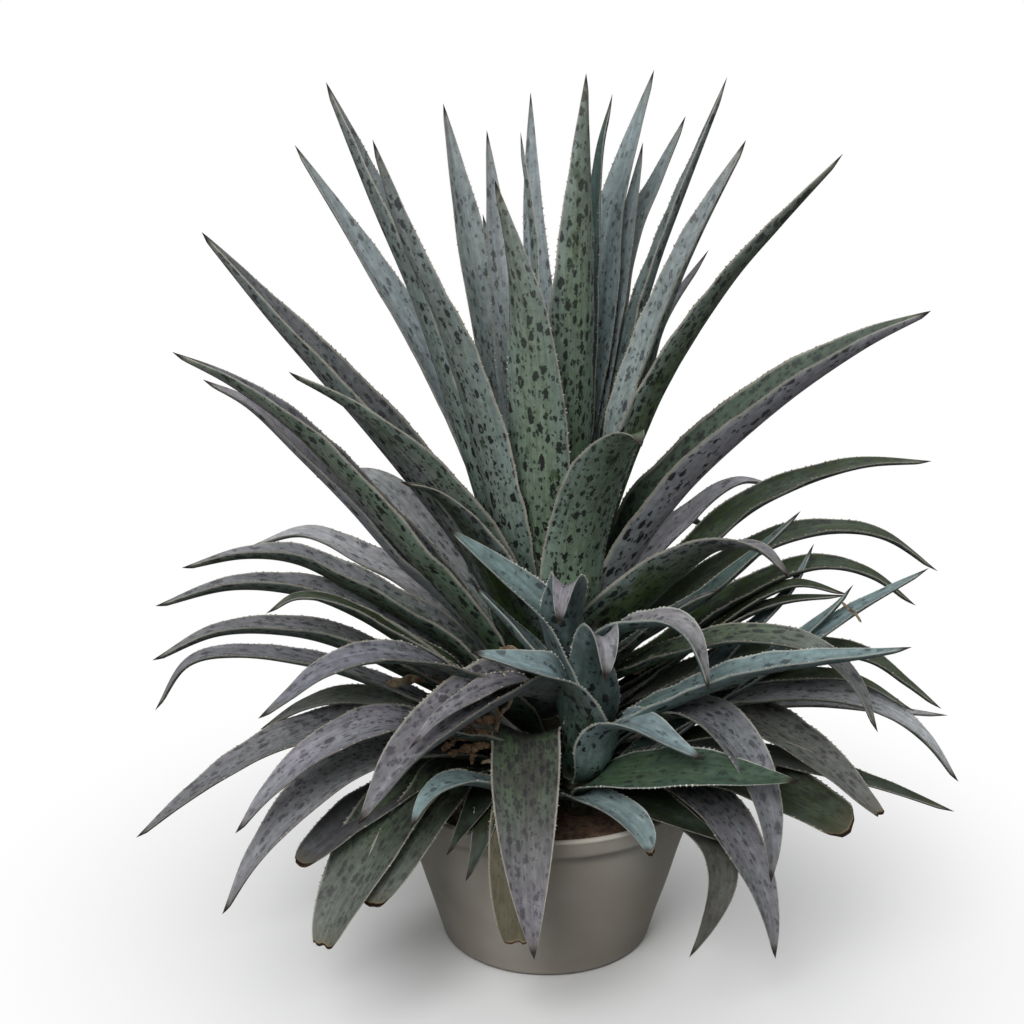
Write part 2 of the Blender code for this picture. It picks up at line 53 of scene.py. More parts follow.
class Wire:
    # the output of a node, which can be added, multiplied and so on
    def __init__(self, tree, socket):
        self.tree, self.socket = tree, socket

    def __add__(self, other):
        return calc("ADD", self, other)

    def __sub__(self, other):
        return calc("SUBTRACT", self, other)

    def __rsub__(self, other):
        return calc("SUBTRACT", other, self)

    def __mul__(self, other):
        return calc("MULTIPLY", self, other)

    def __truediv__(self, other):
        return calc("DIVIDE", self, other)

    def __rtruediv__(self, other):
        return calc("DIVIDE", other, self)


class Outputs:
    # the outputs of a node, by name or number
    def __init__(self, tree, node):
        self.tree, self.node = tree, node

    def __getitem__(self, key):
        return Wire(self.tree, self.node.outputs[key])


def fill(tree, node, values):
    # gives sockets their values, and links them where a value is another node's output
    for key, value in values.items():
        if isinstance(value, Wire):
            tree.links.new(value.socket, node.inputs[key])
        else:
            node.inputs[key].default_value = value


def put(tree, kind, values=None, **settings):
    # adds a node, sets its options, then fills its sockets
    node = tree.nodes.new(kind)
    for option, value in settings.items():
        setattr(node, option, value)
    fill(tree, node, values or {})
    return Outputs(tree, node)


def treeOf(values):
    return next(value.tree for value in values if isinstance(value, Wire))


def calc(operation, *values):
    return put(treeOf(values), "ShaderNodeMath", dict(enumerate(values)), operation=operation)[0]


def calcVector(operation, *values):
    return put(treeOf(values), "ShaderNodeVectorMath", dict(enumerate(values)), operation=operation)[0]


def scaled(vector, size):
    return put(vector.tree, "ShaderNodeVectorMath", {0: vector, "Scale": size}, operation="SCALE")[0]


def colour(red, green, blue):
    # written as a screen shows it, 0 to 255, and turned into the linear values that shaders use
    shares = [value / 255 for value in (red, green, blue)]
    return (*(share / 12.92 if share <= 0.04045 else ((share + 0.055) / 1.055) ** 2.4 for share in shares), 1)


def ramp(value, low, high, toLow=0.0, toHigh=1.0):
    # smooth step from low to high
    ends = {"From Min": low, "From Max": high, "To Min": toLow, "To Max": toHigh}
    return put(value.tree, "ShaderNodeMapRange", {"Value": value, **ends}, interpolation_type="SMOOTHSTEP")[0]


def mix(factor, first, second, blend="MIX"):
    # three numbers are a colour as a screen shows it, four are linear
    values = [colour(*value) if isinstance(value, tuple) and len(value) == 3 else value
              for value in (factor, first, second)]
    sockets = dict(zip((0, 6, 7), values))
    return put(treeOf(values), "ShaderNodeMix", sockets, data_type="RGBA", blend_type=blend)[2]


def shaded(base, red, green, blue):
    # a colour times three others, one for each of its channels
    shade = put(base.tree, "ShaderNodeCombineColor", {0: red, 1: green, 2: blue})[0]
    return mix(1.0, base, shade, "MULTIPLY")


def noise(vector, scale, detail, **more):
    values = {"Vector": vector, "Scale": scale, "Detail": detail, **more}
    return put(vector.tree, "ShaderNodeTexNoise", values)


def split(vector):
    return put(vector.tree, "ShaderNodeSeparateXYZ", {0: vector})


def ownPlace(tree):
    return put(tree, "ShaderNodeTexCoord")["Object"]


def attribute(tree, name, output="Color"):
    return put(tree, "ShaderNodeAttribute", attribute_name=name)[output]


def newGroup(name, kind, inputs, outputs):
    # a word is the kind of a socket, and a number is the value that it starts with
    tree = bpy.data.node_groups.new(name, kind)
    for direction, sockets in (("INPUT", inputs), ("OUTPUT", outputs)):
        for label, given in sockets.items():
            sort = given if isinstance(given, str) else type(given).__name__.capitalize()
            socket = tree.interface.new_socket(label, in_out=direction, socket_type="NodeSocket" + sort)
            if not isinstance(given, str):
                socket.default_value = given
    return tree, put(tree, "NodeGroupInput"), tree.nodes.new("NodeGroupOutput")


def useGroup(tree, group, values):
    return put(tree, "ShaderNodeGroup", values, node_tree=group)


def newMaterial(name, roughness):
    material = bpy.data.materials.new(name)
    material.use_nodes = True
    fill(material.node_tree, material.node_tree.nodes["Principled BSDF"], {"Roughness": roughness})
    return material, material.node_tree


def dress(tree, tint, roughness, relief=None, strength=0.5, depth=0.0008):
    # links colour, roughness and relief to the shader of a material
    given = {"Base Color": tint, "Roughness": roughness}
    if relief:
        bump = {"Strength": strength, "Distance": depth, "Height": relief}
        given["Normal"] = put(tree, "ShaderNodeBump", bump)[0]
    fill(tree, tree.nodes["Principled BSDF"], given)


def newMesh(name, verts, faces):
    mesh = bpy.data.meshes.new(name)
    mesh.from_pydata(verts, [], faces)
    mesh.update()
    return mesh


def meshFrom(shape, name):
    # turns a bmesh into a mesh whose faces point outwards
    bmesh.ops.recalc_face_normals(shape, faces=shape.faces)
    mesh = bpy.data.meshes.new(name)
    shape.to_mesh(mesh)
    shape.free()
    return mesh


def ringFaces(first, rings, around):
    # four-sided faces between rings of points that follow one another
    faces = []
    for low in range(first, first + (rings - 1) * around, around):
        for step in range(around):
            after = (step + 1) % around
            faces.append((low + step, low + after, low + around + after, low + around + step))
    return faces


def addThing(name, data):
    thing = bpy.data.objects.new(name, data)
    scene.collection.objects.link(thing)
    return thing


def addPiece(name, mesh, material):
    mesh.materials.append(material)
    mesh.polygons.foreach_set("use_smooth", [True] * len(mesh.polygons))
    return addThing(name, mesh)


def settle(thing):
    # keeps what the modifiers make as the piece's plain mesh
    graph = bpy.context.evaluated_depsgraph_get()
    mesh = bpy.data.meshes.new_from_object(thing.evaluated_get(graph), preserve_all_data_layers=True,
                                           depsgraph=graph)
    thing.modifiers.clear()
    thing.data = mesh


def applyNodes(thing, group, inputs):
    modifier = thing.modifiers.new(group.name, "NODES")
    modifier.node_group = group
    for item in group.interface.items_tree:
        if item.in_out == "INPUT" and item.name in inputs:
            modifier[item.identifier] = inputs[item.name]
    settle(thing)


def finishPiece(thing, node=None):
    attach(thing, "root")
    if node:
        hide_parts(node)


# One row a leaf, by its number: azimuth of its outer face in degrees, height of its foot above
# the soil, blade width, depth of the channel as a share of the half width, roll in degrees, look,
# and the points that the midrib passes, as (x, y, height above soil). Lengths in cm.
leafRows = {
    # erect leaves round the heart
    1: (138, 19.5, 6, 0.4, 0, "pale", (-7.4, 7.2, 32.9), (-14.4, 9.6, 47.8), (-20.6, 12.4, 57.9),
        (-28, 15, 69.6)),
    2: (186, 17, 7.8, 0.7, -14, "heart", (-7.5, 0.6, 33.2), (-10.9, 0.8, 45.2), (-14.4, 0.8, 56),
        (-18.7, 0, 67), (-23, -1, 79)),
    3: (230, 15, 6.4, 0.3, 0, "heart", (-4.4, -5.6, 29.4), (-6.8, -7.2, 41.5), (-10.1, -9.4, 53.5),
        (-14.4, -12, 64.8), (-17.5, -14.6, 75.6)),
    4: (116, 20.5, 5.8, 0.3, 0, "heart", (-3.4, 7, 33.8), (-6.6, 9.2, 50.2), (-9, 11.4, 61.2),
        (-11.5, 13.6, 74.4)),
    5: (97, 22, 4.2, 0.3, 0, "heart", (-2.2, 3.8, 38), (-4.9, 5, 54.5), (-6, 7, 65.5), (-6.7, 8, 72.5)),
    6: (196, 22, 4.4, 0.3, 0, "heart", (-2.7, 0.8, 38), (-1.6, 2, 55), (-1.9, 2.6, 64), (-3.1, 3, 73.2)),
    7: (262, 18, 6.6, 0.3, 0, "front", (-0.6, -5.8, 28), (-1.1, -7.4, 36.4), (-1.8, -8.6, 47.6),
        (-3, -9.2, 59), (-5.7, -9.4, 70.6)),
    8: (302, 21, 6.4, 0.28, 0, "front", (2.1, -2.8, 34), (2.5, -3.2, 46), (2.8, -3.3, 57), (3.1, -3.3, 68),
        (3.5, -3, 80.2)),
    9: (30, 22.5, 4, 0.3, 0, "teal", (3.6, 1.6, 37), (4.4, 2.5, 49.5), (5.1, 3.5, 69), (6.5, 4, 77)),
    10: (66, 20, 5.6, 0.3, 0, "pale", (3, 5, 37), (5.3, 6.6, 51), (6.5, 7.6, 61.5), (8.2, 8.5, 68.7),
        (11.2, 10, 78.6)),
    11: (52, 17, 5.8, 0.4, 0, "pale", (5.2, 8, 40), (7.3, 10.2, 51.2), (9.4, 11.4, 60.2), (12, 12.8, 66),
        (15, 13.8, 73)),
    12: (20, 18.5, 5, 0.45, -10, "slate", (6.2, 2.9, 37.8), (8.6, 4.3, 47.6), (11.3, 5.1, 57.8),
        (14.4, 5.4, 66.8), (18.6, 5.6, 78.5)),
    13: (344, 16.5, 6.8, 0.5, 18, "heart", (6.9, -3.8, 38), (9.8, -4, 48.5), (12.4, -3.8, 56.6),
        (15.4, -3.4, 64.2), (20, -2.2, 73.3)),
    14: (332, 13.5, 7.4, 0.3, -10, "green", (5.6, -3.6, 29), (9.7, -4.3, 42.5), (12.9, -5.3, 50.1),
        (18.2, -6.8, 59.4), (22.8, -8.2, 65.7), (28.8, -10.2, 73.4)),
    15: (280, 13, 7.2, 0.28, 0, "hood", (2.3, -7, 23.5), (2.9, -8.2, 29.4), (4, -10.5, 35.9),
        (5.4, -13.5, 41.1), (6.7, -16.5, 44.8), (7.6, -19, 46.9), (8.3, -21.2, 47.6), (8.7, -22.8, 47)),
    16: (352, 12, 10.4, 0.7, 0, "ridge", (9.8, -1.4, 27.4), (14.2, -1.6, 34.2), (19.6, -2.4, 40.4),
        (26.2, -3, 46.6), (33.2, -3.6, 51.9), (39.6, -5, 56)),
    # spreading leaves on the left
    17: (178, 14.5, 9.4, 0.62, 0, "band", (-8.4, 1, 25.4), (-14.4, 0.8, 34.2), (-19.7, 0.6, 41.3),
        (-24.6, 0.4, 47.4), (-30, 0.2, 54.2), (-36.6, 0, 63.2)),
    18: (196, 11.5, 8.4, 0.55, 4, "greenBand", (-10.9, -2.8, 22.8), (-16.4, -3.6, 29.6),
        (-21.7, -4.5, 36.6), (-26.9, -5.5, 43), (-33.1, -6.5, 48.4), (-39.1, -8, 52.4)),
    19: (172, 10.5, 7, 0.45, 0, "lilacClear", (-10.5, 1.8, 19.6), (-16.4, 1.8, 25.4), (-21.9, 1.6, 32.2),
        (-27.3, 1.4, 38.2), (-32.5, 1.4, 43.6), (-37.5, 1.6, 46.6)),
    20: (154, 13.5, 10, 0.3, 0, "silver", (-8.4, 5, 20), (-14.4, 7, 26.8), (-20.2, 9, 32.2),
        (-26.4, 10.4, 32.4)),
    21: (214, 12.5, 9, 0.32, 12, "outer", (-6.9, -5.2, 26.8), (-11.2, -8, 35.6), (-15.6, -10.4, 42.4),
        (-20.8, -12.2, 47.9), (-26.5, -14.2, 52.1)),
    22: (240, 9.5, 7.2, 0.25, 0, "dark", (-3.6, -7, 21.6), (-5.8, -9.6, 28), (-8.8, -12.2, 34.8),
        (-12.2, -15, 39.6), (-15.3, -17.4, 41.5)),
    # arching leaves on the left
    23: (158, 7.5, 6.8, 0.3, 0, "silver", (-13.4, 6, 18.9), (-20.8, 7.6, 23.2), (-27.6, 8.8, 26),
        (-34.4, 10, 24)),
    24: (182, 8, 8.4, 0.44, 10, "arch", (-10.9, -0.8, 16.4), (-16.5, -1, 20.2), (-22.1, -1, 23.6),
        (-27.7, -1, 26.5), (-33.5, -1, 27.1), (-40.5, -1, 25.7)),
    25: (192, 6.4, 8.6, 0.42, 10, "arch", (-8, -2.4, 11.8), (-14.2, -3.6, 16.6), (-20.8, -4.2, 21.4),
        (-27, -4.6, 24.2), (-34.6, -5, 25), (-42.8, -6, 23.2)),
    26: (214, 7.2, 5.2, 0.25, 0, "dark", (-8.8, -6.4, 15), (-15.6, -9, 20.6), (-22, -11.2, 25.5),
        (-26.6, -12.6, 27), (-29.9, -13.4, 25.4)),
    27: (194, 4.8, 8.2, 0.38, 9, "arch", (-8, -2, 9), (-14.3, -3.8, 13.4), (-21.9, -5.2, 17.9),
        (-28.4, -6.2, 20.2), (-35.9, -7.4, 20.6), (-43, -8.8, 18)),
    28: (206, 3.4, 6.8, 0.22, 6, "lilac", (-7.6, -4.8, 7), (-13.4, -7.4, 12), (-20.8, -9.4, 16.4),
        (-27, -11, 19), (-33.4, -12.2, 20.3), (-38.6, -13, 19.4), (-42.2, -13.4, 14.2)),
    29: (232, 6.6, 7.4, 0.3, 0, "lilac", (-5.5, -8.2, 13), (-9.9, -12.1, 17.8), (-14.2, -15.3, 20.8),
        (-19.2, -18, 22.2), (-23.6, -20, 21.5), (-27, -21, 19.3), (-30.1, -22, 17.3)),
    # low leaves on the left
    30: (180, 1, 7.6, 0.25, 0, "lilac", (-6, -0.8, 3.6), (-12, -2.8, 7.2), (-17.9, -4.6, 9),
        (-25.6, -7.4, 8.8), (-32, -9.6, 7.2), (-39, -12, 3.4), (-45, -14, -0.8)),
    31: (231, 2.4, 7.6, 0.3, 0, "lilacLow", (-5, -8.2, 7), (-10.2, -13, 11.4), (-17.6, -17.4, 14.2),
        (-23.8, -20.2, 12.8), (-29, -22.4, 9.2), (-32.8, -23.6, 4.9)),
    32: (205, 0.8, 8, 0.3, 0, "lilacLow", (-9.9, -6.6, 5.8), (-16.4, -12, 8.4), (-21.6, -16.2, 8.6),
        (-26.6, -20.6, 6), (-30.8, -23.2, 1.8), (-34.4, -24.8, -4)),
    33: (232, 0.9, 7.8, 0.25, 0, "cutLeaf", (-11.4, -9, 4.9), (-15.2, -13.5, 4.2), (-17.4, -18, 3),
        (-19.7, -22.5, 0.8), (-22, -26.6, -2.2), (-23.7, -29.8, -5.5)),
    34: (250, 8.6, 7.6, 0.8, 0, "lilacBoth", (-0.4, -9, 13.6), (-3.1, -12.2, 15.8), (-5, -14.6, 16.4),
        (-8.4, -17.5, 15.6), (-11.9, -20.5, 14.3), (-15, -23.5, 12.9), (-17.5, -26, 10.5),
        (-19.6, -28.2, 8.4)),
    # hanging leaves in front
    35: (268, 5.2, 7.4, 0.28, 0, "bronze", (-2.3, -11, 10.1), (-2.5, -15, 9.3), (-2.6, -20, 7.1),
        (-2.5, -24.5, 3.5), (-2.2, -27.5, -1.3), (-1.7, -29.5, -6.6)),
    36: (272, 0.9, 6, 0.25, 0, "dry", (-2, -9, 2.6), (-2.8, -14, 3.4), (-3.4, -18.6, 2.6),
        (-3.5, -22, -0.6), (-3.4, -24.2, -4.6), (-3.4, -25.2, -8)),
    37: (324, 1.8, 6.8, 0.25, 0, "lilac", (11.2, -9, 4.9), (15.4, -12.5, 4.4), (18.6, -16, 2.8),
        (20.8, -19.5, 0.3), (22.4, -22.5, -2.4), (23.3, -24.5, -5.4), (23.7, -26, -8.6)),
    38: (312, 7, 6.4, 0.38, 0, "lilac", (10, -8.5, 10.1), (14.1, -12, 13.3), (17.3, -15, 13.6),
        (19.8, -18, 12), (21.6, -20.5, 9.5), (22.7, -22.5, 6.5), (23.1, -24, 3.2), (23, -25, -0.1)),
    39: (302, 0.8, 4.8, 0.2, 0, "violet", (10.2, -9.5, 2), (15, -13.6, 1.2), (17.8, -17.2, -0.1),
        (18.5, -19.4, -2), (18.1, -21, -4.3), (16.7, -22, -7.5), (15, -22.2, -10.8)),
    # spreading and arching leaves on the right
    40: (4, 9.6, 6.6, 0.35, 0, "dark", (9, 0.6, 19.6), (15.9, 1.4, 25.6), (20.9, 2.2, 30.4),
        (26.4, 2.8, 33.6), (34.3, 3.2, 36.2), (42.5, 3.6, 36.6)),
    41: (36, 13, 4.8, 0.3, 0, "silver", (8.2, 7, 19.8), (16.2, 10.8, 27.2), (22, 12.8, 30.9), (27, 14, 30)),
    42: (12, 7, 6, 0.35, 0, "dark", (8, 2.8, 13.8), (14.9, 3.2, 19.8), (20.5, 3.4, 24), (26.1, 3.4, 27.2),
        (32.3, 3.2, 28.6), (38, 3, 27.7), (43.9, 2.8, 23.8)),
    43: (350, 8.8, 5.8, 0.35, 0, "dark", (7.6, -1.6, 13.2), (13, -2.6, 16.4), (19.1, -3.2, 21.8),
        (25.2, -3.6, 25.6), (30.2, -3.8, 27.1), (35.4, -4, 25.9), (40.3, -4.2, 22.5)),
    44: (344, 5.8, 5, 0.25, 0, "dark", (7.2, -2.2, 9.4), (12.6, -3.4, 14.4), (20, -5, 21.6),
        (26.4, -6.2, 25.8), (32.3, -7, 25)),
    45: (320, 8.6, 6.2, 0.3, 0, "moss", (5.8, -5.6, 13.8), (10.6, -8.6, 17.6), (17, -11.2, 21),
        (23, -13.2, 22.4), (28.3, -15.2, 21.7), (32, -17.2, 18.9), (34.3, -18.8, 14.2)),
    46: (357, 4.2, 6, 0.35, 0, "dark", (7, -1, 8), (12.6, -2.6, 11.8), (20.1, -4.6, 16), (27.8, -6.2, 18),
        (34.5, -7.6, 17.8), (38.9, -8.4, 15.2), (42.9, -9, 12.3)),
    47: (350, 2, 8.2, 0.3, 0, "silver", (9, -2.8, 7), (16.7, -6.6, 11.2), (24.1, -10, 14.4),
        (30.6, -12.5, 15.4), (36, -14, 14.3), (40.3, -15, 11.3), (43.8, -16, 7)),
    48: (346, 0.9, 5.2, 0.2, 0, "deep", (10, -3.8, 3.8), (16, -6.4, 6.2), (23.1, -9.6, 6.9),
        (30.8, -12.9, 6.6), (36.6, -14.9, 5.7), (43.4, -16.9, 3.9)),
    49: (324, 4.8, 7.6, 0.2, 0, "mixed", (16.9, -5, 11.5), (22.1, -8.5, 11), (27.1, -12.5, 9.7),
        (31.1, -15.5, 7.5), (33.6, -17.5, 5.6), (35.5, -19, 4.3)),
    50: (298, 10.2, 9.4, 0.3, -16, "mossTip", (5.7, -8.9, 20.6), (12, -13.4, 29.2), (16.6, -16.8, 34),
        (20.9, -20, 35.2), (24.1, -22, 32.8)),
    51: (338, 11, 4.4, 0.35, 0, "teal", (8.2, -4.6, 17.4), (12.6, -6.4, 21.3), (17.1, -7, 24.8),
        (21.9, -6.6, 29.1), (26.9, -6, 34.2)),
    # leaves on the far side
    52: (70, 14, 6.4, 0.3, 0, "outer", (3, 9, 30), (5, 17, 39), (7, 26, 42)),
    53: (100, 10.4, 6.6, 0.3, 0, "outer", (-1.8, 10.8, 24.4), (-4.6, 19.6, 33.6), (-7.4, 29, 35)),
    54: (130, 9, 6.6, 0.3, 0, "lilac", (-8, 11.6, 19), (-14, 19, 23), (-21, 27, 20)),
    55: (56, 10, 6.6, 0.3, 0, "lilac", (8.4, 12, 19.6), (14, 20, 24), (20, 28, 20)),
    56: (88, 7, 6.8, 0.3, 0, "lilac", (0.5, 12, 16), (0, 23, 20), (0, 34, 14)),
}

# Smaller leaves between them, in the same form
innerRows = {
    1: (62, 21, 3.4, 0.3, 0, "lilacPale", (7.6, 2, 40), (10.2, 1.5, 47.2), (12.4, 2, 53.5), (17, 3, 60.6)),
    2: (110, 21, 3.8, 0.3, 0, "pale", (0.1, 2.4, 36), (-1.7, 8, 62), (-2, 10, 76.2)),
    3: (86, 20, 4, 0.3, 0, "pale", (-3, 6, 38), (-5.4, 8.4, 54), (-7.2, 9.8, 63)),
    4: (72, 21, 4.2, 0.3, 0, "pale", (4, 5, 38), (7.6, 7.6, 56), (10.1, 9, 71)),
    5: (345, 7.4, 3.6, 0.3, 0, "dark", (12, -4, 15), (19.9, -5.5, 21), (25.5, -6.5, 24), (32.3, -7, 24.9)),
    6: (338, 4.4, 4.2, 0.25, 0, "dark", (12, -6, 11), (22, -9, 15.6), (32, -11.6, 17.2), (39.2, -13, 13.9)),
    7: (350, 3.2, 4.4, 0.25, 0, "silver", (15, -3, 9), (28, -4.5, 11), (38, -5.5, 10.5), (44.3, -6, 10.1)),
    8: (356, 2.6, 4.6, 0.25, 0, "dark", (12, -2, 8), (22, -3, 12.6), (31, -4, 13.6), (39, -5, 11.6)),
    9: (340, 2.2, 4, 0.25, 0, "dark", (12, -7, 7), (20, -10, 10), (27, -12, 9.6), (33, -14, 6.6)),
    10: (316, 3, 9.2, 0.2, 0, "lowGreen", (12.5, -7, 5.1), (18.8, -11, 5.3), (23.8, -14.5, 5.3),
        (28.3, -18, 4.5), (31.7, -20.5, 3.3)),
    11: (330, 7.6, 4.4, 0.3, 0, "lilac", (7, -5.6, 16), (11.6, -8, 21.6), (15.6, -9.6, 25.4),
        (18.4, -10.4, 27)),
    12: (186, 1.8, 6.2, 0.25, 0, "cutLeaf", (-6.6, -1.2, 5.6), (-14.4, -2.5, 9.5), (-22.8, -4, 11.2),
        (-27.4, -4.5, 10.4), (-32.1, -5, 7.9)),
    13: (222, 1.4, 6, 0.25, 0, "plum", (-12, -7, 4.4), (-16.8, -12.5, 3.9), (-21.3, -18, 3.2),
        (-24.2, -22, 2.3), (-26, -25, 1.9)),
    14: (240, 1.2, 6.6, 0.25, 0, "cutLeaf", (-9.4, -9, 4.9), (-12, -14, 4.2), (-14.6, -19, 2.4),
        (-16.8, -23.5, 0.3), (-18.7, -27, -1.8)),
    15: (308, 0.7, 7.2, 0.2, 0, "deep", (6.6, -8.6, 2.4), (12.9, -16, 3), (18.8, -18.4, 1.1)),
    16: (250, 9.8, 3.8, 0.25, 0, "lilacBoth", (-0.3, -9.2, 14.9), (-3.4, -12.6, 17.4), (-6.2, -15.4, 18),
        (-9.2, -18.2, 17.4), (-11.9, -20.8, 16.6), (-14.6, -23.2, 14.4)),
    17: (238, 0.9, 3.6, 0.25, 0, "deep", (-4.2, -8.4, 3), (-6.7, -13, 4.2), (-8.2, -17, 3.7),
        (-9.5, -20, 2.9), (-10.9, -21.8, 1.3)),
    18: (248, 0.8, 3.8, 0.25, 0, "deep", (-3.6, -9, 2.4), (-5.9, -13, 3.4), (-6.7, -17.5, 3.4),
        (-7.6, -20.5, 1.3), (-8.9, -22.2, -1.6)),
}

# The offset's leaves; their feet sink into its crown
offsetRows = {
    1: (185, 4.4, 5.4, 0.5, -35, "blue", (2.4, -9.6, 12), (1.6, -10.8, 18.5), (-1, -12.8, 25.5),
        (-5.5, -14.4, 30.7), (-10.6, -15.6, 35.9)),
    2: (262, 5, 4.6, 0.85, 0, "blueLilac", (2.2, -11, 14), (1.3, -13, 22.2), (1.7, -16, 28),
        (1.6, -18.6, 30.6), (1.3, -20.4, 30.9), (1, -21.6, 29.7), (0.8, -22, 27.6)),
    3: (312, 4.6, 4.8, 0.5, 0, "blueLilac", (4.4, -11, 15.5), (5.3, -13, 20.5), (7.1, -15, 23.9),
        (9.8, -17, 25.7), (12.5, -18.5, 26.4), (14.3, -19.5, 25.3), (15.4, -20, 23), (16.4, -20.2, 19.6)),
    4: (288, 5, 4.4, 0.85, 0, "blueLilac", (4.2, -12, 14), (4.6, -14.2, 19.2), (4.9, -17, 22.9),
        (5.2, -19.6, 25.4), (5.5, -21.4, 25.6), (5.6, -22.6, 24.4), (5.5, -23, 22)),
    5: (240, 4, 5.8, 0.5, -24, "blueFold", (3.6, -12.5, 10.5), (2.6, -15, 15.9), (0.8, -17, 19.6),
        (-1.9, -18.4, 21.4), (-4.5, -19.2, 22.5), (-6.6, -19.8, 23.4), (-8.3, -20, 23.9)),
    6: (176, 5, 5, 0.35, 0, "blue", (2.2, -8.9, 11.5), (0, -9.4, 17), (-3.8, -10.2, 22.2),
        (-8.1, -11.4, 28)),
    7: (340, 4.8, 5.6, 0.5, 0, "blue", (6.9, -10.5, 9.9), (11.3, -13, 13.8), (15.9, -15.5, 17.3),
        (21.8, -18, 20.8), (27.7, -19.8, 22.7), (32.6, -21, 24), (36.6, -22, 25.3)),
    8: (280, 4.2, 3.2, 0.35, 0, "teal", (5.8, -11.5, 11.9), (5.9, -13.5, 17.5), (4.4, -15, 25.4)),
    9: (20, 4.2, 3.6, 0.35, 0, "blue", (8, -7, 8), (14.6, -6, 11.9), (21, -5, 18.5), (26.2, -4.5, 24.2),
        (28.8, -4, 29.7)),
    10: (4, 2.4, 4.6, 0.35, 0, "blue", (12.4, -8.6, 8.5), (21.2, -9.4, 15.4), (27.8, -9.2, 20.2),
        (34, -8.4, 24.4), (40.8, -7.4, 28.2)),
    11: (350, 3, 4.4, 0.3, 0, "blue", (12, -9, 8), (22, -9, 16.4), (29.5, -8.6, 22.9), (32.5, -9, 26.9)),
    12: (330, 0.8, 6.2, 0.12, 24, "blueGreen", (5.2, -12, 5.4), (9.7, -15, 7.8), (14.8, -18.5, 9.8),
        (18.7, -21, 10.6), (22.1, -23.5, 11.3), (25.2, -26, 12.2)),
    13: (322, 3.8, 5.8, 0.45, 0, "bluePaintedLight", (5.4, -11.4, 6.5), (5.9, -13, 10.4), (7.4, -15, 13.2),
        (10, -17.5, 13.8), (12.8, -19.5, 13.1), (16, -21.2, 12.2)),
    14: (300, 1, 4.2, 0.35, 0, "bluePaintedLight", (3.4, -12.4, 3.4), (5.3, -14.5, 3.9), (7.8, -17, 3.7),
        (9.8, -19.4, 2.6), (10.8, -21.2, 0.9)),
    15: (236, 2, 4.4, 0.35, 0, "bluePaintedLight", (-4, -14, 5), (-7.5, -17, 7.4), (-10.1, -20, 9),
        (-12.4, -23, 9.2), (-13.6, -25, 8.4), (-14.4, -26.5, 7)),
}

